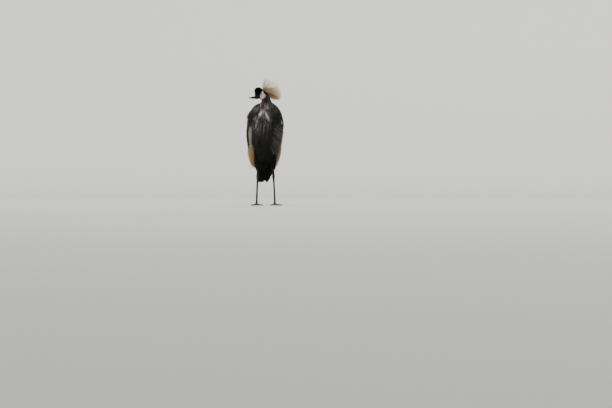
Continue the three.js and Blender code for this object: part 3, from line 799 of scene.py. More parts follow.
def breast_tone(lines):
    """Pale and warm shares for feathers of the front, with painted shade low down and in one gap."""
    centre, turned = lines[0], root_angles(lines)
    x, z = seen_across(centre), centre[..., 2]
    columns = (0.5 + 0.5 * np.sin(turned * 0.8 + 0.6) * np.sin(turned * 0.31 + 1.3)) ** 1.5
    # Painted shade: the plumes darken downwards, under the body. They are also darker towards the camera's
    # right.
    height = smooth(z, 410, 580) * (1 - 0.6 * smooth(x, 20, 50))
    stripe = bell(x, -52 - 0.06 * (z - 525), 15) * smooth(z, 420, 520) * (1 - smooth(z, 575, 625))
    # Painted shade: a dark gap between plumes.
    gap = 1 - 0.85 * bell(x, -21, 7) * bell(z, 560, 30)
    collar = 0.34 * smooth(z, 632, 664) * (1 - smooth(z, 680, 694)) * (1 - smooth(x, 4, 28))
    fringe = 0.75 * bell(x, -34, 7) * bell(z, 672, 14)
    pale = 0.02 + 0.34 * columns * height * gap + 0.34 * stripe
    pale = np.maximum.reduce([pale, throat_streaks(centre), collar, fringe])
    warm = 0.35 * (1 - smooth(z, 430, 560)) * smooth(z, 330, 420) + 0.15 * stripe
    return pale, warm


def build_breast():
    """Four coats of plumes over the front, each lying over the one below it."""
    rows = [
        # Count, heights, angles, reach, lifts and half-widths, from the long pointed plumes of the lower
        # breast up to the lower neck, where the streaks begin
        (640, (530, 400), ((-150, -32), (-140, -40)), (118, 84), (-19, -9, -5), (3.8, 4.6)),
        (700, (600, 500), ((-150, -34), (-150, -32)), (112, 120), (-16, -6, -2), (3.4, 4.2)),
        (860, (660, 570), ((-154, -26), (-144, -36)), (84, 108), (-13, -3, 1), (2.6, 3.6)),
        (1050, (692, 622), ((-178, -2), (-152, -28)), (42, 78), (-6, 1, 3.5), (1.7, 2.8)),
    ]
    for number, (count, heights, angles, reach, lifts, widths) in enumerate(rows, 1):
        coat = Coat()
        root, tip = patch(count, heights, angles, reach, flare=1.04, loose=12)
        share = (heights[0] - root[:, 0]) / (heights[0] - heights[1])
        half = lerp(*widths, share) * (1 + vary(count, 0.25))
        low, quill, high = lifts
        uneven = (low, quill + vary(count, 1.5), high + vary(count, 2.5))
        tilt, bow = vary(count, 16), vary(count, 2.5)
        lines = laid(bib, root, tip, uneven, half, hackle, rings=10, tilt=tilt, bow=bow)
        pale, warm = breast_tone(lines)
        coat.add(lines, pale * (1 + vary((count, 1), 0.6)), warm, thick=0.25, ragged=0.12)
        thin = wisps(bib, root, tip, lifts, count * 2, reach[0] * 0.5, 3)
        pale, warm = breast_tone(thin)
        coat.add_strands(thin, pale * (1 + vary((count * 2, 1), 0.5)), warm)
        coat.build(f"breast_plumage_{number}", "slate")


def build_neck():
    """Short close feathers round the upper neck: black at the throat, olive grey on the nape."""
    TOP, BOTTOM = 754, 676
    coat = Coat()
    count = 2500
    root, tip = patch(count, (TOP, BOTTOM), ALL_ROUND, (15, 28), loose=4, stray=6)
    share = np.clip((TOP - root[:, 0]) / 70, 0, 1)
    lifts = (-2.5, lerp(0.6, 2, share) + vary(count, 0.4), lerp(1.6, 4.5, share) + vary(count, 0.7))
    lines = laid(neck, root, tip, lifts, lerp(1.2, 2.0, share), oval, rings=5, tilt=vary(count, 10))
    x, z = seen_across(lines[0]), lines[0][..., 2]
    nape = np.clip(smooth(x, 8, 20) + smooth(lines[0][..., 1], -48, -34), 0, 1)
    fade = 682 + vary((count, 1), 16)
    collar = 0.28 * (1 - smooth(z, fade - 18, fade + 16)) * (1 - 0.8 * smooth(x, 12, 30))
    coat.add(lines, 0.01 + 0.08 * nape + collar, 0.85 * nape * smooth(z, 676, 700), thick=0.25)
    coat.build("neck_plumage", "slate")


# Back, flanks and thighs
def build_mantle():
    """Slate feathers over the upper back and the shoulders, in two layers, near black at the front as
    painted shade.
    """
    coat = Coat()
    rows = [
        # Count, heights, angles, reach and lifts
        (300, (640, 590), ((22, 158), (20, 160)), (56, 66), (-17, -1, 2)),
        (620, (696, 630), ((-40, 220), (-4, 184)), (40, 54), (-16, 2, 5)),
    ]
    for count, heights, angles, reach, lifts in rows:
        root, tip = patch(count, heights, angles, reach, loose=5)
        uneven = (lifts[0], lifts[1] + vary(count, 1), lifts[2] + vary(count, 1.5))
        half = 5.5 * (1 + vary(count, 0.15))
        lines = laid(plumage, root, tip, uneven, half, oval, rings=10, tilt=vary(count, 8))
        # Painted shade: the feathers are near black at the front, by the neck, and paler on the back.
        back = smooth(lines[0][..., 1], -60, -20)
        coat.add(lines, 0.01 + 0.2 * back, 0.1, thick=0.3, ragged=0.15)
        thin = wisps(plumage, root, tip, lifts, count, 30, 3)
        coat.add_strands(thin, 0.01 + 0.2 * smooth(thin[0][..., 1], -60, -20), 0.1)
    coat.build("mantle_plumage", "slate")


def build_belly():
    """Black loose feathers under the body and over the thighs: the black is painted shade under the body.
    """
    coat = Coat()
    count = 840
    root, tip = patch(count, (455, 322), ((-176, -4), (-180, 0)), (90, 66), loose=16, stray=4)
    lifts = (-8, vary(count, 1), 6 + vary(count, 3))
    half = 5 * (1 + vary(count, 0.2))
    lines = laid(trunk, root, tip, lifts, half, hackle, rings=8, tilt=vary(count, 10))
    # Painted shade: the feathers under the body and over the thighs are painted near black.
    coat.add(lines, 0.04, 0.1, thick=0.3, ragged=0.15)
    TOP, BOTTOM, LOWEST = 392, 262, 236
    for s in SIDES.values():
        count = 500
        root, tip = patch(count, (TOP, BOTTOM), ALL_ROUND, (50, 26), loose=5, stray=5)
        half = lerp(5, 2.6, (TOP - root[:, 0]) / (TOP - BOTTOM))
        tip[:, 0] = np.maximum(tip[:, 0], LOWEST)
        lifts = (-4, 0.5, 2 + vary(count, 1.2))
        lines = laid(thigh_form(s), root, tip, lifts, half, hackle, rings=7, tilt=vary(count, 10))
        coat.add(lines, 0.08, 0.15, thick=0.3, ragged=0.1)
    coat.build("belly_plumage", "shaded_black")


# Wings and tail
def evenly(count, ends):
    """Rows of heights and angles from the first of two ends to the second."""
    return lerp(np.array(ends[0], float), np.array(ends[1], float), np.linspace(0, 1, count)[:, None])


def build_quills(name, s):
    """Primaries, secondaries and the black feathers along the wing's outer edge."""
    RINGS = 30
    coat = Coat()
    sets = [
        # Count, roots, tips, lifts, half-width, rise from one feather to the next, warmth and paleness
        (9, ((388, 36), (404, 80)), ((216, 24), (170, 82)), (-10, -8, -5), 9.5, 0.7, 0.0, 0.03),
        (14, ((404, -8), (440, 80)), ((284, -14), (194, 80)), (-8, -5, -2.5), 11.5, 0.35, 0.9, 0.34),
    ]
    for count, roots, tips, (low, quill, high), half, step, warm, pale in sets:
        root, tip = evenly(count, roots), evenly(count, tips)
        tip[:, 0] += vary(count, 4)
        rise = np.arange(count) * step
        lifts = (low, quill + rise, high + rise)
        lines = laid(plumage, root, tip, lifts, half, paddle, rings=RINGS, tilt=8, side=s)
        tone = pale * (np.linspace(1.2, 0.6, RINGS)[None, :] + vary((count, 1), 0.5))
        coat.add(lines, tone, warm * (0.9 + vary(count, 0.2)), thick=0.45, skew=0.25, ragged=0.08)
        shafts(coat, lines, pale=0.05, warm=warm * 0.4)
    if name == "right":
        root, tip = patch(34, (578, 486), ((-18, 0), (-21, -4)), (82, 84), stray=1)
    else:
        root, tip = patch(30, (624, 592), ((-26, -2), (-22, -4)), (44, 50), stray=1.5)
    lifts = (-6, 7, 11 + vary(len(root), 0.8))
    lines = laid(plumage, root, tip, lifts, 4.4, lancet, rings=14, tilt=4, side=s)
    coat.add(lines, 0.02, 0.0, thick=0.45, ragged=0.1)
    coat.build(f"wing_{name}_quills", "quill")


def build_coverts(name, s):
    """White coverts in rows, larger downwards."""
    RINGS = 12
    coat = Coat()
    rows = [
        # Height, reach, half-width and count
        (472, 66, 7.5, 30), (496, 58, 7, 30), (519, 52, 6.6, 31), (541, 47, 6.2, 32),
        (562, 42, 5.8, 32), (581, 37, 5.4, 33), (598, 33, 5, 34), (614, 28, 4.6, 34),
    ]
    swell = 0.12 * np.sin(np.linspace(0, np.pi, RINGS))[None, :]
    roots, tips = [], []
    for row, (height, reach, half, count) in enumerate(rows):
        share = (np.arange(count) + 0.5 * (row % 2)) / count
        slant = height + 8 * share
        root = np.stack([slant + vary(count, 3), lerp(-40, 40, share)], axis=-1)
        fall = reach * (1 + vary(count, 0.16))
        tip = np.stack([slant - fall, lerp(-43, 37, share) + vary(count, 1.5)], axis=-1)
        lifts = (-7, 1.5 + vary(count, 0.5), 5.5 + vary(count, 0.9))
        tilt = 7 + vary(count, 4)
        lines = laid(plumage, root, tip, lifts, half, lancet, rings=RINGS, tilt=tilt, side=s)
        pale, shade = covert_tone(name, root_angles(lines, s))
        coat.add(lines, pale + swell, shade, thick=0.35, ragged=0.2)
        shafts(coat, lines, pale=0.5, warm=shade)
        roots.append(root)
        tips.append(tip)
    root, tip = np.vstack(roots), np.vstack(tips)
    thin = wisps(plumage, root, tip - [6, 0], (-7, 2, 6), 1000, 26, 2, side=s)
    pale, shade = covert_tone(name, root_angles(thin, s))
    coat.add_strands(thin, pale, shade, thick=0.5)
    coat.build(f"wing_{name}_coverts", "white")


def covert_tone(name, turned):
    """Pale and olive shares, the olive grey being painted shade: the front edge of the right wing is olive
    grey, with one paler line, and that of the left wing a little.
    """
    # Painted shade: the wings' front edges are painted olive grey.
    if name == "left":
        front = 0.3 * (1 - smooth(turned, -24, -12))
        return 0.8 - front, front
    front = 1 - smooth(turned, -26, -10)
    line = bell(turned, -29, 3)
    return 0.8 - 0.6 * front + 0.3 * line, front * (1 - 0.7 * line)


def build_gold(name, s):
    """Straw-gold plumes that hang over the quills, deeper in colour towards the front of the right wing as
    painted shade.
    """
    LOWEST = 266
    coat = Coat()
    count, loose = 200, 1900
    front, inner, outer = (-38, -36, -20) if name == "right" else (-46, -90, -60)
    root, tip = patch(count, (505, 440), ((front, 42), (front, 24)), (190, 166), loose=12, stray=4)
    tip[:, 0] = np.maximum(tip[:, 0], LOWEST + vary(count, 8))
    lifts = (-6, vary(count, 1), 6.5 + vary(count, 2.2))
    half = 2.4 * (1 + vary(count, 0.3))
    tilt, bow = vary(count, 20), vary(count, 4)
    lines = laid(plumage, root, tip, lifts, half, lancet, rings=12, tilt=tilt, bow=bow, side=s)
    # Painted shade: deeper gold towards the front of the right wing.
    deep = 0.9 * (1 - smooth(root_angles(lines, s), inner, outer))
    coat.add(lines, 0.5 + vary((count, 1), 0.35), deep, thick=0.25, ragged=0.35)
    raised = (-6, 0, 8 + rng.exponential(2, count))
    thin = wisps(plumage, root, tip + [14, -3], raised, loose, 90, 4, side=s)
    deep = 0.85 * (1 - smooth(root_angles(thin, s), inner, outer))
    coat.add_strands(thin, 0.6 + vary((loose, 1), 0.4), deep, thick=0.7)
    coat.build(f"wing_{name}_gold", "gold", [f"wing_{name}"])


def plume_tone(lines, s, rings):
    """The pale share of slate plumes: palest behind and on the right shoulder, with painted shade at the
    front, darkest low at the front.
    """
    x, y, z = seen_across(lines[0]), lines[0][..., 1], lines[0][..., 2]
    shoulder = 0.16 * smooth(z, 612, 650) * (s < 0)
    panel = 0.24 * bell(x, -54, 14) * smooth(z, 460, 540) * (1 - smooth(z, 575, 620))
    faded = 0.2 * rng.random((len(x), 1)) ** 2 * np.linspace(1, 0.3, rings)[None, :]
    # Painted shade: darker at the front than behind, and darkest low down at the front.
    shaded = (1 - smooth(y, -30, 10)) * (1 - smooth(z, 420, 530))
    raised = np.maximum(0.14 * smooth(y, -60, -20), np.maximum(shoulder, panel))
    streaks = 0.8 * throat_streaks(lines[0]) * (1 - smooth(y, -70, -40))
    return np.maximum(0.02 + (raised + faded) * (1 - 0.95 * shaded), streaks)


def build_plumes(name, s):
    """Slate plumes: the scapulars down the back, and those of the shoulder."""
    RINGS = 10
    coat = Coat()
    sets = [
        # Count, heights, angles, reach, height of the tips over the wing and half-width
        (240, (640, 520), ((36, 90), (46, 90)), (110, 172), 10, 6),
        (300, (676, 612), ((-52, 50), (-30, 44)), (46, 70), 9, 4.4),
    ]
    if name == "left":
        # Plumes of the shoulder that hang over the first of the spread ones
        sets.append((130, (654, 628), ((-80, -34), (-76, -38)), (40, 50), 13, 3.4))
    else:
        # Ruffled tips that stand off the shoulder, and plumes beside the breast
        sets.append((80, (664, 618), ((-50, 14), (-24, 10)), (40, 44), 18, 3))
        sets.append((30, (662, 640), ((-16, 8), (-14, 6)), (52, 46), 25, 3))
        sets.append((300, (625, 500), ((-68, -42), (-64, -44)), (84, 88), 4, 3))
    for count, heights, angles, reach, high, wide in sets:
        root, tip = patch(count, heights, angles, reach, stray=3)
        lifts = (-7, 6 + vary(count, 1.2), high + vary(count, 2))
        half = wide * (1 + vary(count, 0.2))
        tilt, bow = vary(count, 12), vary(count, 2)
        lines = laid(plumage, root, tip, lifts, half, hackle, rings=RINGS, tilt=tilt, bow=bow, side=s)
        pale = plume_tone(lines, s, RINGS)
        coat.add(lines, pale, 0.3 * rng.random(count), thick=0.28, ragged=0.15)
        thin = wisps(plumage, root, tip, (-7, 6, high), count * 2, reach[0] * 0.4, 3, side=s)
        # Painted shade: the loose barbs are darker at the front.
        coat.add_strands(thin, 0.03 + 0.15 * smooth(thin[0][..., 1], -30, 10), 0.2)
    if name == "left":
        add_spread_plumes(coat)
    coat.build(f"wing_{name}_plumes", "slate")


def add_spread_plumes(coat):
    """Long plumes that spread outwards from the breast over the folded left wing, and a patch of white."""
    RINGS = 12
    TOP, BOTTOM = 616, 436
    count = 330
    q = rng.random(count)
    z = lerp(TOP, BOTTOM, q) + vary(count, 9)
    root = np.stack([z, -66 + vary(count, 15)], axis=-1)
    low = z - lerp(34, 116, q**0.85) + vary(count, 8)
    tip = np.stack([low, lerp(-17, -38, q) + vary(count, 5)], axis=-1)
    above = smooth(q, -0.06, 0.08)
    lifts = (-14, lerp(-3, 4.5, above) + vary(count, 1), lerp(1, 8.5, above) + vary(count, 1.5))
    half = 2.3 * (1 + vary(count, 0.25))
    tilt, bow = 12 + vary(count, 8), -3 + vary(count, 2.5)
    lines = laid(plumage, root, tip, lifts, half, hackle, rings=RINGS, tilt=tilt, bow=bow)
    # Painted light: bands of plumes are painted paler as lit, and painted shade darkens the lowest ones.
    lit = (1 - 0.85 * smooth(q, 0.6, 0.9)) * smooth(np.sin(z * 0.44), 0.35, 1.0)
    painted_lit_bands = lit[:, None] * np.linspace(0.5, 1.1, RINGS)[None, :]
    coat.add(lines, 0.04 + 0.4 * painted_lit_bands, 0.3, thick=0.28)
    thin = wisps(plumage, root, tip, lifts, count, 16, 1.2)
    coat.add_strands(thin, 0.03 + 0.25 * rng.random(count) ** 3, 0.3)
    count = 16
    root, tip = patch(count, (600, 588), ((-32, -22), (-31, -22)), (18, 22), stray=2)
    lifts = (-3, 9, 11 + vary(count, 1))
    lines = laid(plumage, root, tip, lifts, 2.2, lancet, rings=8, tilt=6)
    coat.add(lines, 0.6 + vary((count, 1), 0.3), 0.0, thick=0.28, ragged=0.3)


def build_tail():
    """Twelve feathers in each of two layers, with short black feathers over their roots, all near black as
    painted shade under the body.
    """
    FEATHERS, RINGS, LOWEST = 12, 30, 226
    coat = Coat()
    for i in range(2 * FEATHERS):
        # The feathers lie in two layers, the front one between those behind and a little shorter
        layer = i % 2
        place = (i / 2 - (FEATHERS - 0.5) / 2) / (FEATHERS / 2)
        tip = 158 + 14 * bell(place, -0.04, 0.14) + 95 * max(0, place - 0.3) + 4 * layer + vary(1, 3)[0]
        deep = i * 0.4 + 9 * layer
        line = Form([
            (4 + place * 42, 140 - deep, 272 - i * 0.3, 1, 1),
            (10 + place * 48, 172 - deep, 222 - i * 0.3, 1, 1),
            (13 + place * 53, 206 - deep, tip, 1, 1),
        ])
        t = np.linspace(0, 1, RINGS)[None]
        centre, _, _, up, _, _ = line.section(t)
        half = (10.5 + vary(1, 1)[0]) * paddle(t)
        lines = (centre, up, half, np.array([[0.5 + place * 0.3, 0.2]]))
        # Painted shade: the tail feathers and the short ones over their roots are painted near black.
        coat.add(lines, 0.1, 0.0, thick=0.45, ragged=0.1)
        shafts(coat, lines, pale=0.4)
    count = 300
    root, tip = patch(count, (318, 250), ALL_ROUND, (50, 44), loose=6)
    tip[:, 0] = np.maximum(tip[:, 0], LOWEST)
    lifts = (-4, 1, 4 + vary(count, 1))
    lines = laid(tail_root, root, tip, lifts, 5, oval, rings=7, tilt=vary(count, 6))
    coat.add(lines, 0.08, 0.0, thick=0.3, ragged=0.1)
    coat.build("tail_feathers", "shaded_black", ["tail"])


# Head
def inside(points, balls, s=1):
    """How far points lie inside some blended ellipsoids: above 0 inside, 1 at a centre."""
    BLEND = 14
    total = 0
    for ball in balls:
        at = np.array(ball["at"], float) * np.array([1, s, 1])
        reach = np.linalg.norm((points - at) / np.array(ball["radii"]), axis=-1)
        total = total + np.exp(np.clip(BLEND * (1 - reach), -60, 60))
    return np.log(total) / BLEND


def crinkle(points, pitch):
    """Uneven soft folds of about one pitch: waves in several directions that share no rhythm."""
    WAVES = 7
    k = np.arange(WAVES) * 2.4
    ways = np.stack([np.cos(k), np.sin(k) * np.cos(k * 1.7), np.sin(k) * np.sin(k * 1.7)], axis=-1)
    lengths = pitch * (0.7 + 0.09 * np.arange(WAVES))
    return np.sin((points @ ways.T) * 2 * np.pi / lengths + k * 3.1).sum(axis=-1) / WAVES * 1.6


def lid_ring(s):
    """The rim of the lids round one eye. The upper lid reaches further over the eye than the lower one."""
    RADIUS, THICK, OUT = EYE_RADIUS - 0.3, 1.4, 2.5
    UPPER, LOWER = 0.68, 0.84
    phi = np.linspace(0, 2 * np.pi, 48, endpoint=False)
    theta = np.linspace(0, 2 * np.pi, 14, endpoint=False)
    ring = RADIUS + THICK * np.cos(theta)[None, :]
    squeeze = np.where(np.sin(phi) > 0, UPPER, LOWER)[:, None]
    x = EYE[0] + ring * np.cos(phi)[:, None]
    z = EYE[2] + ring * np.sin(phi)[:, None] * squeeze
    y = s * (EYE[1] + OUT) + THICK * np.sin(theta)[None, :] + 0 * x
    grid = np.stack([x, y, z], axis=-1)
    rings, around = grid.shape[:2]
    a, b = np.meshgrid(np.arange(rings), np.arange(around), indexing="ij")
    row, next_row = a * around, (a + 1) % rings * around
    k, next_k = b, (b + 1) % around
    quads = np.stack([row + k, row + next_k, next_row + next_k, next_row + k], axis=-1)
    return grid.reshape(-1, 3), [quads.reshape(-1, 4)]


def head_skin():
    """Vertices and quads of the head in its own frame, with how far each point lies inside a bare cheek."""
    # The solid cheeks are low domes, and those of the skin reach as far round the head
    DEEPER = np.array([1, 1.7, 1])
    cushion = ellipsoid(CUSHION["at"], np.array(CUSHION["radii"]) - 1)
    brow = ellipsoid(BROW["at"], np.array(BROW["radii"]) - 1)
    jowls = [ellipsoid(np.array(JOWL["at"]) * [1, s, 1], np.array(JOWL["radii"]) - 1) for s in (1, -1)]
    pieces = [skull.surface(64, 60, inset=0.9), cushion, brow, *jowls, lid_ring(1), lid_ring(-1)]
    vertices, quads = grown("head", [(head_to_body(v), f) for v, f in pieces], 0.8, 6)
    local = (vertices - HEAD_AT) @ HEAD_AXES
    patches = [{"at": ball["at"], "radii": np.array(ball["radii"]) * DEEPER} for ball in CHEEKS]
    cheek = np.maximum(inside(local, patches, 1), inside(local, patches, -1))
    eye_gap = np.hypot(local[:, 0] - EYE[0], local[:, 2] - EYE[2])
    cheek = np.minimum(cheek, (eye_gap - 7.0) / 12)
    edge = 0.5 * bell(cheek, 0.07, 0.05)
    raised = smooth(cheek, 0, 0.1) * (0.9 + 0.3 * crinkle(local, 5) + 0.16 * crinkle(local, 2.2)) + edge
    folds = 0.22 * crinkle(local, 3) * bell(eye_gap, 9, 3)
    return vertices + vertex_normals(vertices, quads) * (raised + folds)[:, None], quads, local, cheek


def nearest_line(vertices, form):
    """For each vertex the distance to a form's surface, the way along it and the angle round it."""
    SAMPLES = 160
    t = np.linspace(0, 1, SAMPLES)
    centre, along, side, up, wide, deep = form.section(t)
    steps = np.linalg.norm(np.diff(centre, axis=0), axis=-1)
    length = np.concatenate([[0], np.cumsum(steps)])
    gaps = np.linalg.norm(vertices[:, None] - centre[None], axis=-1)
    k = gaps.argmin(axis=1)
    offset = vertices - centre[k]
    angle = np.arctan2(np.sum(offset * up[k], axis=-1), np.sum(offset * side[k], axis=-1))
    way = length[k] + np.sum(offset * along[k], axis=-1)
    return gaps[np.arange(len(k)), k] - wide[k], way, angle


def leg_skin(s):
    """Vertices, quads and the scutes' values of one leg and foot."""
    SHANK_PITCH, TOE_PITCH, SCUTE_HEIGHT, PAD_DEPTH = 4.2, 3.1, 0.42, 0.8
    shank = shank_form(s)
    toes = [toe_form(s, *toe[1:4]) for toe in TOES]
    ball = ellipsoid((LEAN + s * FOOT_X, FOOT_Y, 12), (9, 10, 10))
    pieces = [shank.surface(36, 160, inset=0.35), ball]
    pieces += [toe.surface(28, 60, inset=0.35) for toe in toes]
    vertices, quads = grown("leg", pieces, 1.0, 4)
    normals = vertex_normals(vertices, quads)
    lines = [shank, *toes]
    found = [nearest_line(vertices, line) for line in lines]
    nearest = np.argmin([gap for gap, _, _ in found], axis=0)
    height = np.zeros(len(vertices))
    phase = np.ones(len(vertices))
    for i in range(len(lines)):
        mine = nearest == i
        _, way, angle = found[i]
        # Plates on the front of the shank, which is the underside of its frame, and on top of the toes
        top = -np.pi / 2 if i == 0 else np.pi / 2
        away = np.abs((angle - top + np.pi) % (2 * np.pi) - np.pi)
        pitch = SHANK_PITCH if i == 0 else TOE_PITCH
        band = 1 - smooth(away, 0.9, 1.25)
        step = (way / pitch + 0.12 * np.cos(angle * 3)) % 1
        rise = smooth(step, 0, 0.25) * (1 - 0.5 * step)
        height = np.where(mine, band * rise * SCUTE_HEIGHT, height)
        phase = np.where(mine, np.where(band > 0.5, np.minimum(step, 1 - step) * 2, 1), phase)
        if i > 0:
            _, _, length, _, joints = TOES[i - 1]
            pads = 0.5 - 0.5 * np.cos(2 * np.pi * way / length * joints)
            under = smooth(away, 1.9, 2.6)
            height = np.where(mine, height - under * (1 - pads) * PAD_DEPTH, height)
    floor = np.maximum(vertices[:, 2] * 0.6, 0)
    moved = vertices + normals * np.minimum(height, floor)[:, None]
    moved[:, 2] = np.maximum(moved[:, 2], 0)
    return moved, quads, phase


def wing_slab(s):
    """The flesh of a folded wing under its feathers."""
    u, v = np.meshgrid(np.linspace(0, 1, 30), np.linspace(0, 1, 30), indexing="ij")
    t = lerp(0.12, 0.62, u)
    low = lerp(-42, -12, u**1.3)
    high = lerp(76, 88, u**0.5)
    edge = np.maximum(np.abs(2 * v - 1) ** 4, np.abs(2 * u - 1) ** 6)
    outer = plumage.point(t, lerp(low, high, v), -7 - 6 * edge)
    inner = plumage.point(t, lerp(low, high, v), -20)
    loop = np.concatenate([outer, inner[:, ::-1]], axis=1) * np.array([s, 1, 1])
    return closed_tube(loop if s > 0 else loop[:, ::-1])


def build_skin():
    """One skin over body, head and legs, with where it is cheek or leg, and how high on either."""
    body_pieces = [
        trunk.surface(48, 60, inset=3),
        neck.surface(40, 40, inset=2),
        tail_root.surface(32, 30, inset=1),
    ]
    for s in SIDES.values():
        body_pieces.append(thigh_form(s).surface(32, 30, inset=2))
        body_pieces.append(wing_slab(s))
    body, body_quads = grown("body", body_pieces, 4, 3)
    head, head_quads, local, cheek = head_skin()
    legs = [leg_skin(s) for s in SIDES.values()]
    parts = [(body, [body_quads]), (head, [head_quads])] + [(v, [q]) for v, q, _ in legs]
    vertices, faces = joined(parts)
    obj = make_object("skin", vertices, [np.vstack(faces)], skin_material())
    zone = [np.stack([np.full(len(body), -1.0), np.zeros(len(body)), np.ones(len(body))], axis=-1)]
    # How high up the cheek each point lies, for the blush at the top and the painted shade low down.
    up_the_cheek = (local[:, 2] + 42) / 60
    zone.append(np.stack([cheek, np.zeros(len(head)), up_the_cheek], axis=-1))
    for v, _, phase in legs:
        zone.append(np.stack([np.full(len(v), -1.0), np.ones(len(v)), phase], axis=-1))
    set_attribute(obj, "zone", np.vstack(zone))
    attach(obj, "root")
    nodes = ["torso", "neck", "head", "cheek_left", "cheek_right"]
    for name in SIDES:
        nodes += [f"thigh_{name}", f"leg_{name}", f"foot_{name}"]
    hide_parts(*nodes)
    return local, cheek, head, head_quads


def build_down(local, bare, head, quads):
    """Velvety down over the head, longest on the cushion, with a brown band where the crest grows."""
    HAIRS, RINGS, HALF = 18000, 3, 0.42
    LID_EDGE, BILL_ROOT, BILL_TOP = 7.4, 42.5, -8
    corner = head[quads]
    area = np.linalg.norm(np.cross(corner[:, 2] - corner[:, 0], corner[:, 3] - corner[:, 1]), axis=-1)
    pick = rng.choice(len(quads), HAIRS, p=area / area.sum())
    a, b = rng.random((2, HAIRS, 1))

    def blend(c):
        return lerp(lerp(c[:, 0], c[:, 1], a), lerp(c[:, 3], c[:, 2], a), b)

    normals = vertex_normals(head, quads)
    at, normal, spot = blend(corner[pick]), unit(blend(normals[quads[pick]])), blend(local[quads[pick]])
    cheek = bare[quads[pick]].mean(axis=1)
    eye_gap = np.linalg.norm((spot - EYE * np.array([1, 0, 1])) * np.array([1, 0, 1]), axis=-1)
    off_the_bill = (spot[:, 0] < BILL_ROOT) | (spot[:, 2] > BILL_TOP)
    keep = (cheek < 0.01) & (eye_gap > LID_EDGE) & off_the_bill
    at, normal, spot = at[keep], normal[keep], spot[keep]
    count = len(at)
    cushion = smooth(inside(spot, [CUSHION]), -0.25, -0.05)
    back = heading_to_body(np.array([-1.0, 0, 0.15]))
    lying = unit(back - normal * (normal @ back)[:, None])
    heading = unit(lying * lerp(1.0, 0.75, cushion)[:, None] + normal * lerp(0.1, 0.8, cushion)[:, None])
    heading = unit(heading + rng.normal(0, 0.12, (count, 3)))
    length = lerp(3.2, 4.4, cushion) * (1 + vary(count, 0.25)) * smooth(eye_gap[keep], 7, 16).clip(0.5)
    u = np.linspace(0, 1, RINGS)[None, :, None]
    bend = lying[:, None] * (u**2) * length[:, None, None] * 0.25
    centre = at[:, None] - normal[:, None] * 0.4 + heading[:, None] * u * length[:, None, None] + bend
    across = np.cross(heading, normal)
    facing = unit(np.cross(across, heading) + normal * 0.2)[:, None] * np.ones((1, RINGS, 1))
    half = HALF * strand(u[..., 0]) * np.ones((count, 1))
    turned = np.arctan2(spot[:, 1], spot[:, 0]) / (2 * np.pi) % 1
    place = np.stack([turned, np.clip(0.5 + spot[:, 2] / 120, 0, 1)], axis=-1)
    brown = smooth(inside(spot, [{"at": (-20, 0, 14), "radii": (17, 16, 10)}]), -0.1, 0.25)
    on_cushion = cushion > 0.5
    for name, mine in (("cushion_down", on_cushion), ("face_down", ~on_cushion)):
        coat = Coat()
        lines = (centre[mine], facing[mine], half[mine], place[mine])
        coat.add_strands(lines, 0.02, 0.75 * brown[mine], thick=0.7)
        coat.build(name, "velvet")


def build_crest():
    """Stiff golden bristles, each a twisted strip, densest in a bunch behind the head."""
    COUNT, LOOSE, RINGS, TURNS = 660, 120, 18, 4
    HALF, SWAY = 0.6, 2.2
    turned = rng.uniform(0, 2 * np.pi, COUNT)
    reach = np.sqrt(rng.random(COUNT))
    backward, sideways = reach * np.cos(turned), reach * np.sin(turned)
    bunch = lerp(-51, 20, (1 - backward) / 2) + rng.normal(0, 3, COUNT)
    standing = rng.random(COUNT)
    loose = np.arange(COUNT) < LOOSE
    rise = np.where(loose, lerp(20, 92, standing), bunch)
    backward = np.where(loose, lerp(0.1, -1, standing) + vary(COUNT, 0.2), backward)
    aside = sideways * np.where(loose, 24, 30) + rng.normal(0, 3, COUNT)
    root = head_to_body(skull.point(0.75 + backward * 0.08, 90 + sideways * 20, -2.0))
    shortened = 1 - 0.27 * np.clip(rise, 0, 90) / 90 - 0.3 * smooth(-rise, 20, 54)
    length = CREST_LENGTH * shortened * np.clip(1 + rng.normal(0, 0.045, COUNT), 0.8, 1.05)
    r, p = np.radians(rise), np.radians(aside)
    heading = heading_to_body(np.stack([-np.cos(r) * np.cos(p), -np.sin(p), np.sin(r)], axis=-1))
    u = np.linspace(0, 1, RINGS)
    sag = 0.06 - 0.35 * np.maximum(0, -np.sin(r) - 0.3)
    droop = np.array([0, 0, -1.0]) * (sag * length)[:, None, None] * (u**2)[None, :, None]
    sway = rng.normal(0, 1, (COUNT, 3))[:, None] * (SWAY * np.sin(np.pi * u / 2) * u)[None, :, None]
    centre = root[:, None] + heading[:, None] * (length[:, None] * u)[..., None] + droop + sway
    side = unit(np.cross(heading, np.array([0.2, 0.1, 1.0])))[:, None]
    over = np.cross(side, heading[:, None])
    twist = (rng.uniform(0, 2 * np.pi, COUNT)[:, None] + u[None] * 2 * np.pi * TURNS)[..., None]
    facing = side * np.cos(twist) + over * np.sin(twist)
    half = HALF * (1 - 0.55 * u**2)[None, :] * np.ones((COUNT, 1))
    place = np.stack([0.5 + sideways * 0.2, 0.5 + backward * 0.2], axis=-1)
    # Painted shade: bristles that hang low are darker, and warm brown along their inner part, as the shade
    # under the crest.
    pale = lerp(0.35, 0.85, u)[None, :] + vary((COUNT, 1), 0.2) - 0.25 * smooth(-rise, 5, 30)[:, None]
    tip = smooth(u, 0.93, 0.99)[None, :] * (rng.random((COUNT, 1)) < 0.7)
    under = 0.75 * smooth(-rise, 8, 30)[:, None] * (1 - smooth(u, 0.4, 0.9))[None, :]
    warm = np.maximum(0.85 * (1 - smooth(u, 0.02, 0.16))[None, :] + 0.8 * tip, under)
    coat = Coat()
    coat.add((centre, facing, half, place), pale, warm, thick=0.6, camber=0)
    coat.build("crest_bristles", "crest", ["crest"])


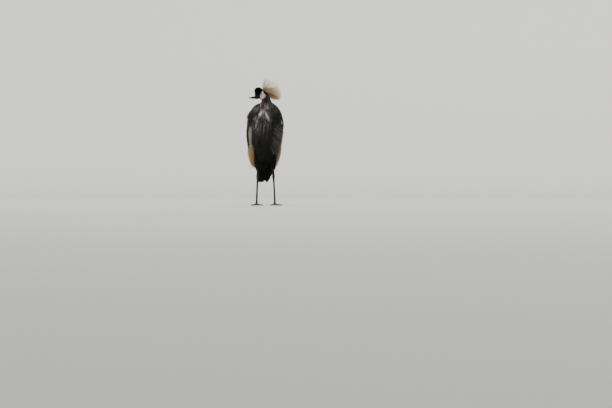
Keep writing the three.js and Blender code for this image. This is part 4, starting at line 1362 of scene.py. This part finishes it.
def build_bill():
    """The two halves of the bill, with a nostril slot on each side of the upper one."""
    material = horn_material("bill", (9, 12, 13), (26, 30, 31), 0.46)
    MOUTH = {"gap": 0.06, "drop": 3, "slope": 3}
    NOSTRIL = {"x": BILL_BASE[0] + 18, "z": -25, "long": 5.2, "high": 1.5, "deep": 2.0}
    for name, upper in (("bill_upper", True), ("bill_lower", False)):
        vertices, faces = bill.surface(60, 110)
        fall = math.tan(math.radians(MOUTH["slope"]))
        line = BILL_BASE[2] - MOUTH["drop"] - (vertices[:, 0] - BILL_BASE[0]) * fall
        beyond = vertices[:, 2] - line
        if upper:
            vertices[:, 2] = np.maximum(vertices[:, 2], line + MOUTH["gap"] / 2)
            x = (vertices[:, 0] - NOSTRIL["x"]) / NOSTRIL["long"]
            z = (vertices[:, 2] - NOSTRIL["z"] - 0.1 * (vertices[:, 0] - NOSTRIL["x"])) / NOSTRIL["high"]
            # The nostril slot is dented in, and its near-black paint is painted shade inside the opening.
            pit = 1 - smooth(np.hypot(x, z), 0.55, 1.1)
            vertices[:, 1] -= np.sign(vertices[:, 1]) * pit * NOSTRIL["deep"]
        else:
            vertices[:, 2] = np.minimum(vertices[:, 2], line - MOUTH["gap"] / 2)
            pit = np.zeros(len(vertices))
        along = (vertices[:, 0] - BILL_BASE[0]) / BILL_LENGTH
        edge = (1 - smooth(np.abs(beyond), 0.2, 1.6)) * smooth(along, 0.1, 0.4)
        obj = make_object(name + "_horn", head_to_body(vertices), faces, material)
        set_attribute(obj, "vane", np.stack([along, edge, pit], axis=-1))
        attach(obj, "root")
        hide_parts(name)


def build_eyes():
    """Two eyeballs with a slightly bulging front."""
    RADIUS = EYE_RADIUS * 0.97
    RINGS, AROUND = 48, 64
    material = eye_material()
    theta = np.linspace(0, np.pi, RINGS + 1)[1:-1, None]
    phi = np.arange(AROUND) * 2 * np.pi / AROUND
    out = np.cos(theta) * (1 + 0.06 * bell(theta, 0, 0.6))
    for name, s in SIDES.items():
        x = EYE[0] + RADIUS * np.sin(theta) * np.cos(phi)
        z = EYE[2] + RADIUS * np.sin(theta) * np.sin(phi)
        y = s * (EYE[1] + RADIUS * out + 0 * phi)
        grid = np.stack([x, y, z], axis=-1)
        vertices, faces = closed_tube(grid if s < 0 else grid[:, ::-1])
        obj = make_object(f"eyeball_{name}", head_to_body(vertices), faces, material)
        from_axis = np.hypot(vertices[:, 0] - EYE[0], vertices[:, 2] - EYE[2]) / EYE_RADIUS
        behind = (vertices[:, 1] * s < EYE[1]) * 2.0
        turned = np.arctan2(vertices[:, 2] - EYE[2], vertices[:, 0] - EYE[0])
        set_attribute(obj, "vane", np.stack([from_axis + behind, np.sin(turned * 9), 0 * turned], axis=-1))
        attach(obj, "root")
        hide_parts(f"eye_{name}")


def build_wattle():
    """Two hanging lobes of red skin, creased across."""
    pieces = []
    for shift, length, size in ((-2.6, 0, 0.65), (2.6, 5, 0.75)):
        pieces.append(Form([
            (-15 + shift * 0.5, -66, 716, 4 * size, 4),
            (-20 + shift, -83, 703, 7 * size, 5),
            (-27 + shift * 1.3, -99, 686 - length * 0.2, 8.5 * size, 5.5),
            (-34 + shift * 1.5, -110, 668 - length * 0.6, 7.5 * size, 5.5),
            (-38 + shift * 1.6, -114, 656 - length, 4.5 * size, 4),
        ], domes=(0.1, 0.2)).surface(32, 50, inset=0.4))
    vertices, quads = grown("wattle", pieces, 0.7, 4)
    normals = vertex_normals(vertices, quads)
    x, z = vertices[:, 0], vertices[:, 2]
    creases = np.sin(z * 0.62 + 0.5 * np.sin(x * 0.4)) * 0.55 + np.sin(z * 1.5 + x * 0.5) * 0.22
    edge = smooth(z, 652, 664)
    vertices = vertices + normals * (creases * (0.4 + 0.6 * edge))[:, None]
    obj = make_object("wattle_skin", vertices, [quads], wattle_material())
    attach(obj, "root")
    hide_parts("wattle")


def build_claws():
    """The claws, flat underneath where they touch the ground."""
    material = horn_material("claw", (22, 20, 19), (60, 56, 50), 0.3)
    for name, s in SIDES.items():
        for toe, heading, length, thick, _ in TOES:
            vertices, faces = claw_form(s, heading, length, thick).surface(24, 30)
            vertices[:, 2] = np.maximum(vertices[:, 2], 0)
            obj = make_object(f"claw_horn_{name}_{toe}", vertices, faces, material)
            set_attribute(obj, "vane", np.zeros_like(vertices))
            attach(obj, "root")
            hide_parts(f"claw_{name}_{toe}")


# The feathers' materials: a dark, a light and a warm colour each
MATERIALS = {
    "slate": plume_material("slate_plumes", (9, 9, 8), (212, 210, 206), (40, 40, 30)),
    # Near-black plumes, painted as the shade under the body.
    "shaded_black": plume_material("shaded_black_plumes", (3, 3, 3), (44, 44, 42), (20, 19, 14), gloss=0.08),
    "quill": plume_material("quills", (6, 6, 6), (132, 104, 84), (62, 32, 18)),
    # The white coverts' warm colour, olive grey, is the painted shade on the wings' front edges.
    "white": plume_material("white_coverts", (92, 88, 80), (228, 225, 214), (70, 72, 58), streak=0.05),
    # The gold plumes' warm colour, deep gold, is the painted shade on the right wing's front.
    "gold": plume_material("gold_plumes", (84, 60, 30), (220, 190, 142), (108, 56, 20), uneven=0.3),
    "velvet": plume_material("velvet_down", (3, 3, 4), (40, 40, 46), (84, 52, 30), gloss=0.04),
    "crest": plume_material("crest_bristles", (128, 92, 50), (240, 214, 166), (104, 60, 26), uneven=0.3),
}


# Studio
def build_studio():
    """A pale floor that curves up into a wall all round, with a soft sky and three lights."""
    FLAT, CURVE, WALL = 25.0, 7.0, 9.0
    STEPS, AROUND = 16, 96
    profile = [(r, 0.0) for r in (0.0, 1.0, 3.0, 8.0, 16.0, FLAT)]
    for k in range(1, STEPS + 1):
        a = k / STEPS * math.pi / 2
        profile.append((FLAT + CURVE * math.sin(a), CURVE * (1 - math.cos(a))))
    profile.append((FLAT + CURVE, CURVE + WALL))
    phi = np.arange(AROUND) * 2 * np.pi / AROUND
    grid = np.array([[(r * np.cos(p), r * np.sin(p), z) for p in phi] for r, z in profile[1:]])
    vertices = np.vstack([grid.reshape(-1, 3), [[0, 0, 0]]])
    faces = []
    for i in range(len(grid) - 1):
        for k in range(AROUND):
            n = (k + 1) % AROUND
            faces.append((i * AROUND + k, (i + 1) * AROUND + k, (i + 1) * AROUND + n, i * AROUND + n))
    hub = [(len(vertices) - 1, k, (k + 1) % AROUND) for k in range(AROUND)]
    mesh = bpy.data.meshes.new("studio")
    mesh.from_pydata(vertices.tolist(), [], faces + hub)
    mesh.polygons.foreach_set("use_smooth", [True] * len(mesh.polygons))
    shader = Shader("studio", {"Roughness": 0.85})
    shader.colour((*srgb(226, 226, 223), 1))
    mesh.materials.append(shader.material)
    studio = bpy.data.objects.new("studio", mesh)
    bpy.context.scene.collection.objects.link(studio)

    world = bpy.data.worlds.new("sky")
    bpy.context.scene.world = world
    world.use_nodes = True
    background = world.node_tree.nodes["Background"]
    background.inputs[0].default_value = (0.92, 0.95, 1.0, 1)
    background.inputs[1].default_value = 0.42

    lights = [
        # Name, direction, angle across, power and tint
        ("key", (-2.0, -2.6, 2.6), 30, 3.2, (1.0, 0.98, 0.95)),
        ("fill", (3.0, -2.0, 1.2), 50, 0.6, (0.95, 0.97, 1.0)),
        ("rim", (1.2, 2.6, 2.2), 40, 1.4, (1.0, 0.98, 0.95)),
    ]
    for name, towards, angle, power, tint in lights:
        lamp = bpy.data.lights.new(name, "SUN")
        lamp.angle = math.radians(angle)
        lamp.energy = power
        lamp.color = tint
        obj = bpy.data.objects.new(name, lamp)
        obj.location = towards
        obj.rotation_euler = Vector(towards).to_track_quat("Z", "Y").to_euler()
        bpy.context.scene.collection.objects.link(obj)


def build_camera():
    """A long lens at the photo's angle, with the bird where the photo has it."""
    LENS, SENSOR = 200.0, 36.0
    HEIGHT = 0.15
    AIM_ACROSS, AIM_UP = 0.2795, 0.010
    distance = FRAME_PIXELS * MM_PER_PIXEL * MM / SENSOR * LENS
    aim = Vector(SIGHT) * AIM_ACROSS + Vector((0, 0, AIM_UP))
    azimuth = math.radians(CAMERA_AZIMUTH)
    rise = math.asin((HEIGHT - AIM_UP) / distance)
    back = Vector((math.sin(azimuth) * math.cos(rise), -math.cos(azimuth) * math.cos(rise), math.sin(rise)))
    data = bpy.data.cameras.new("camera")
    data.lens = LENS
    data.sensor_width = SENSOR
    data.clip_start = 0.1
    data.clip_end = 200
    camera = bpy.data.objects.new("camera", data)
    camera.location = aim + back * distance
    camera.rotation_mode = "QUATERNION"
    camera.rotation_quaternion = (-back).to_track_quat("-Z", "Y")
    bpy.context.scene.collection.objects.link(camera)
    bpy.context.scene.camera = camera


build_studio()
build_camera()
build_down(*build_skin())
build_crest()
build_bill()
build_eyes()
build_wattle()
build_claws()
build_neck()
build_breast()
build_mantle()
build_belly()
for side_name, side_sign in SIDES.items():
    build_quills(side_name, side_sign)
    build_coverts(side_name, side_sign)
    build_gold(side_name, side_sign)
    build_plumes(side_name, side_sign)
build_tail()
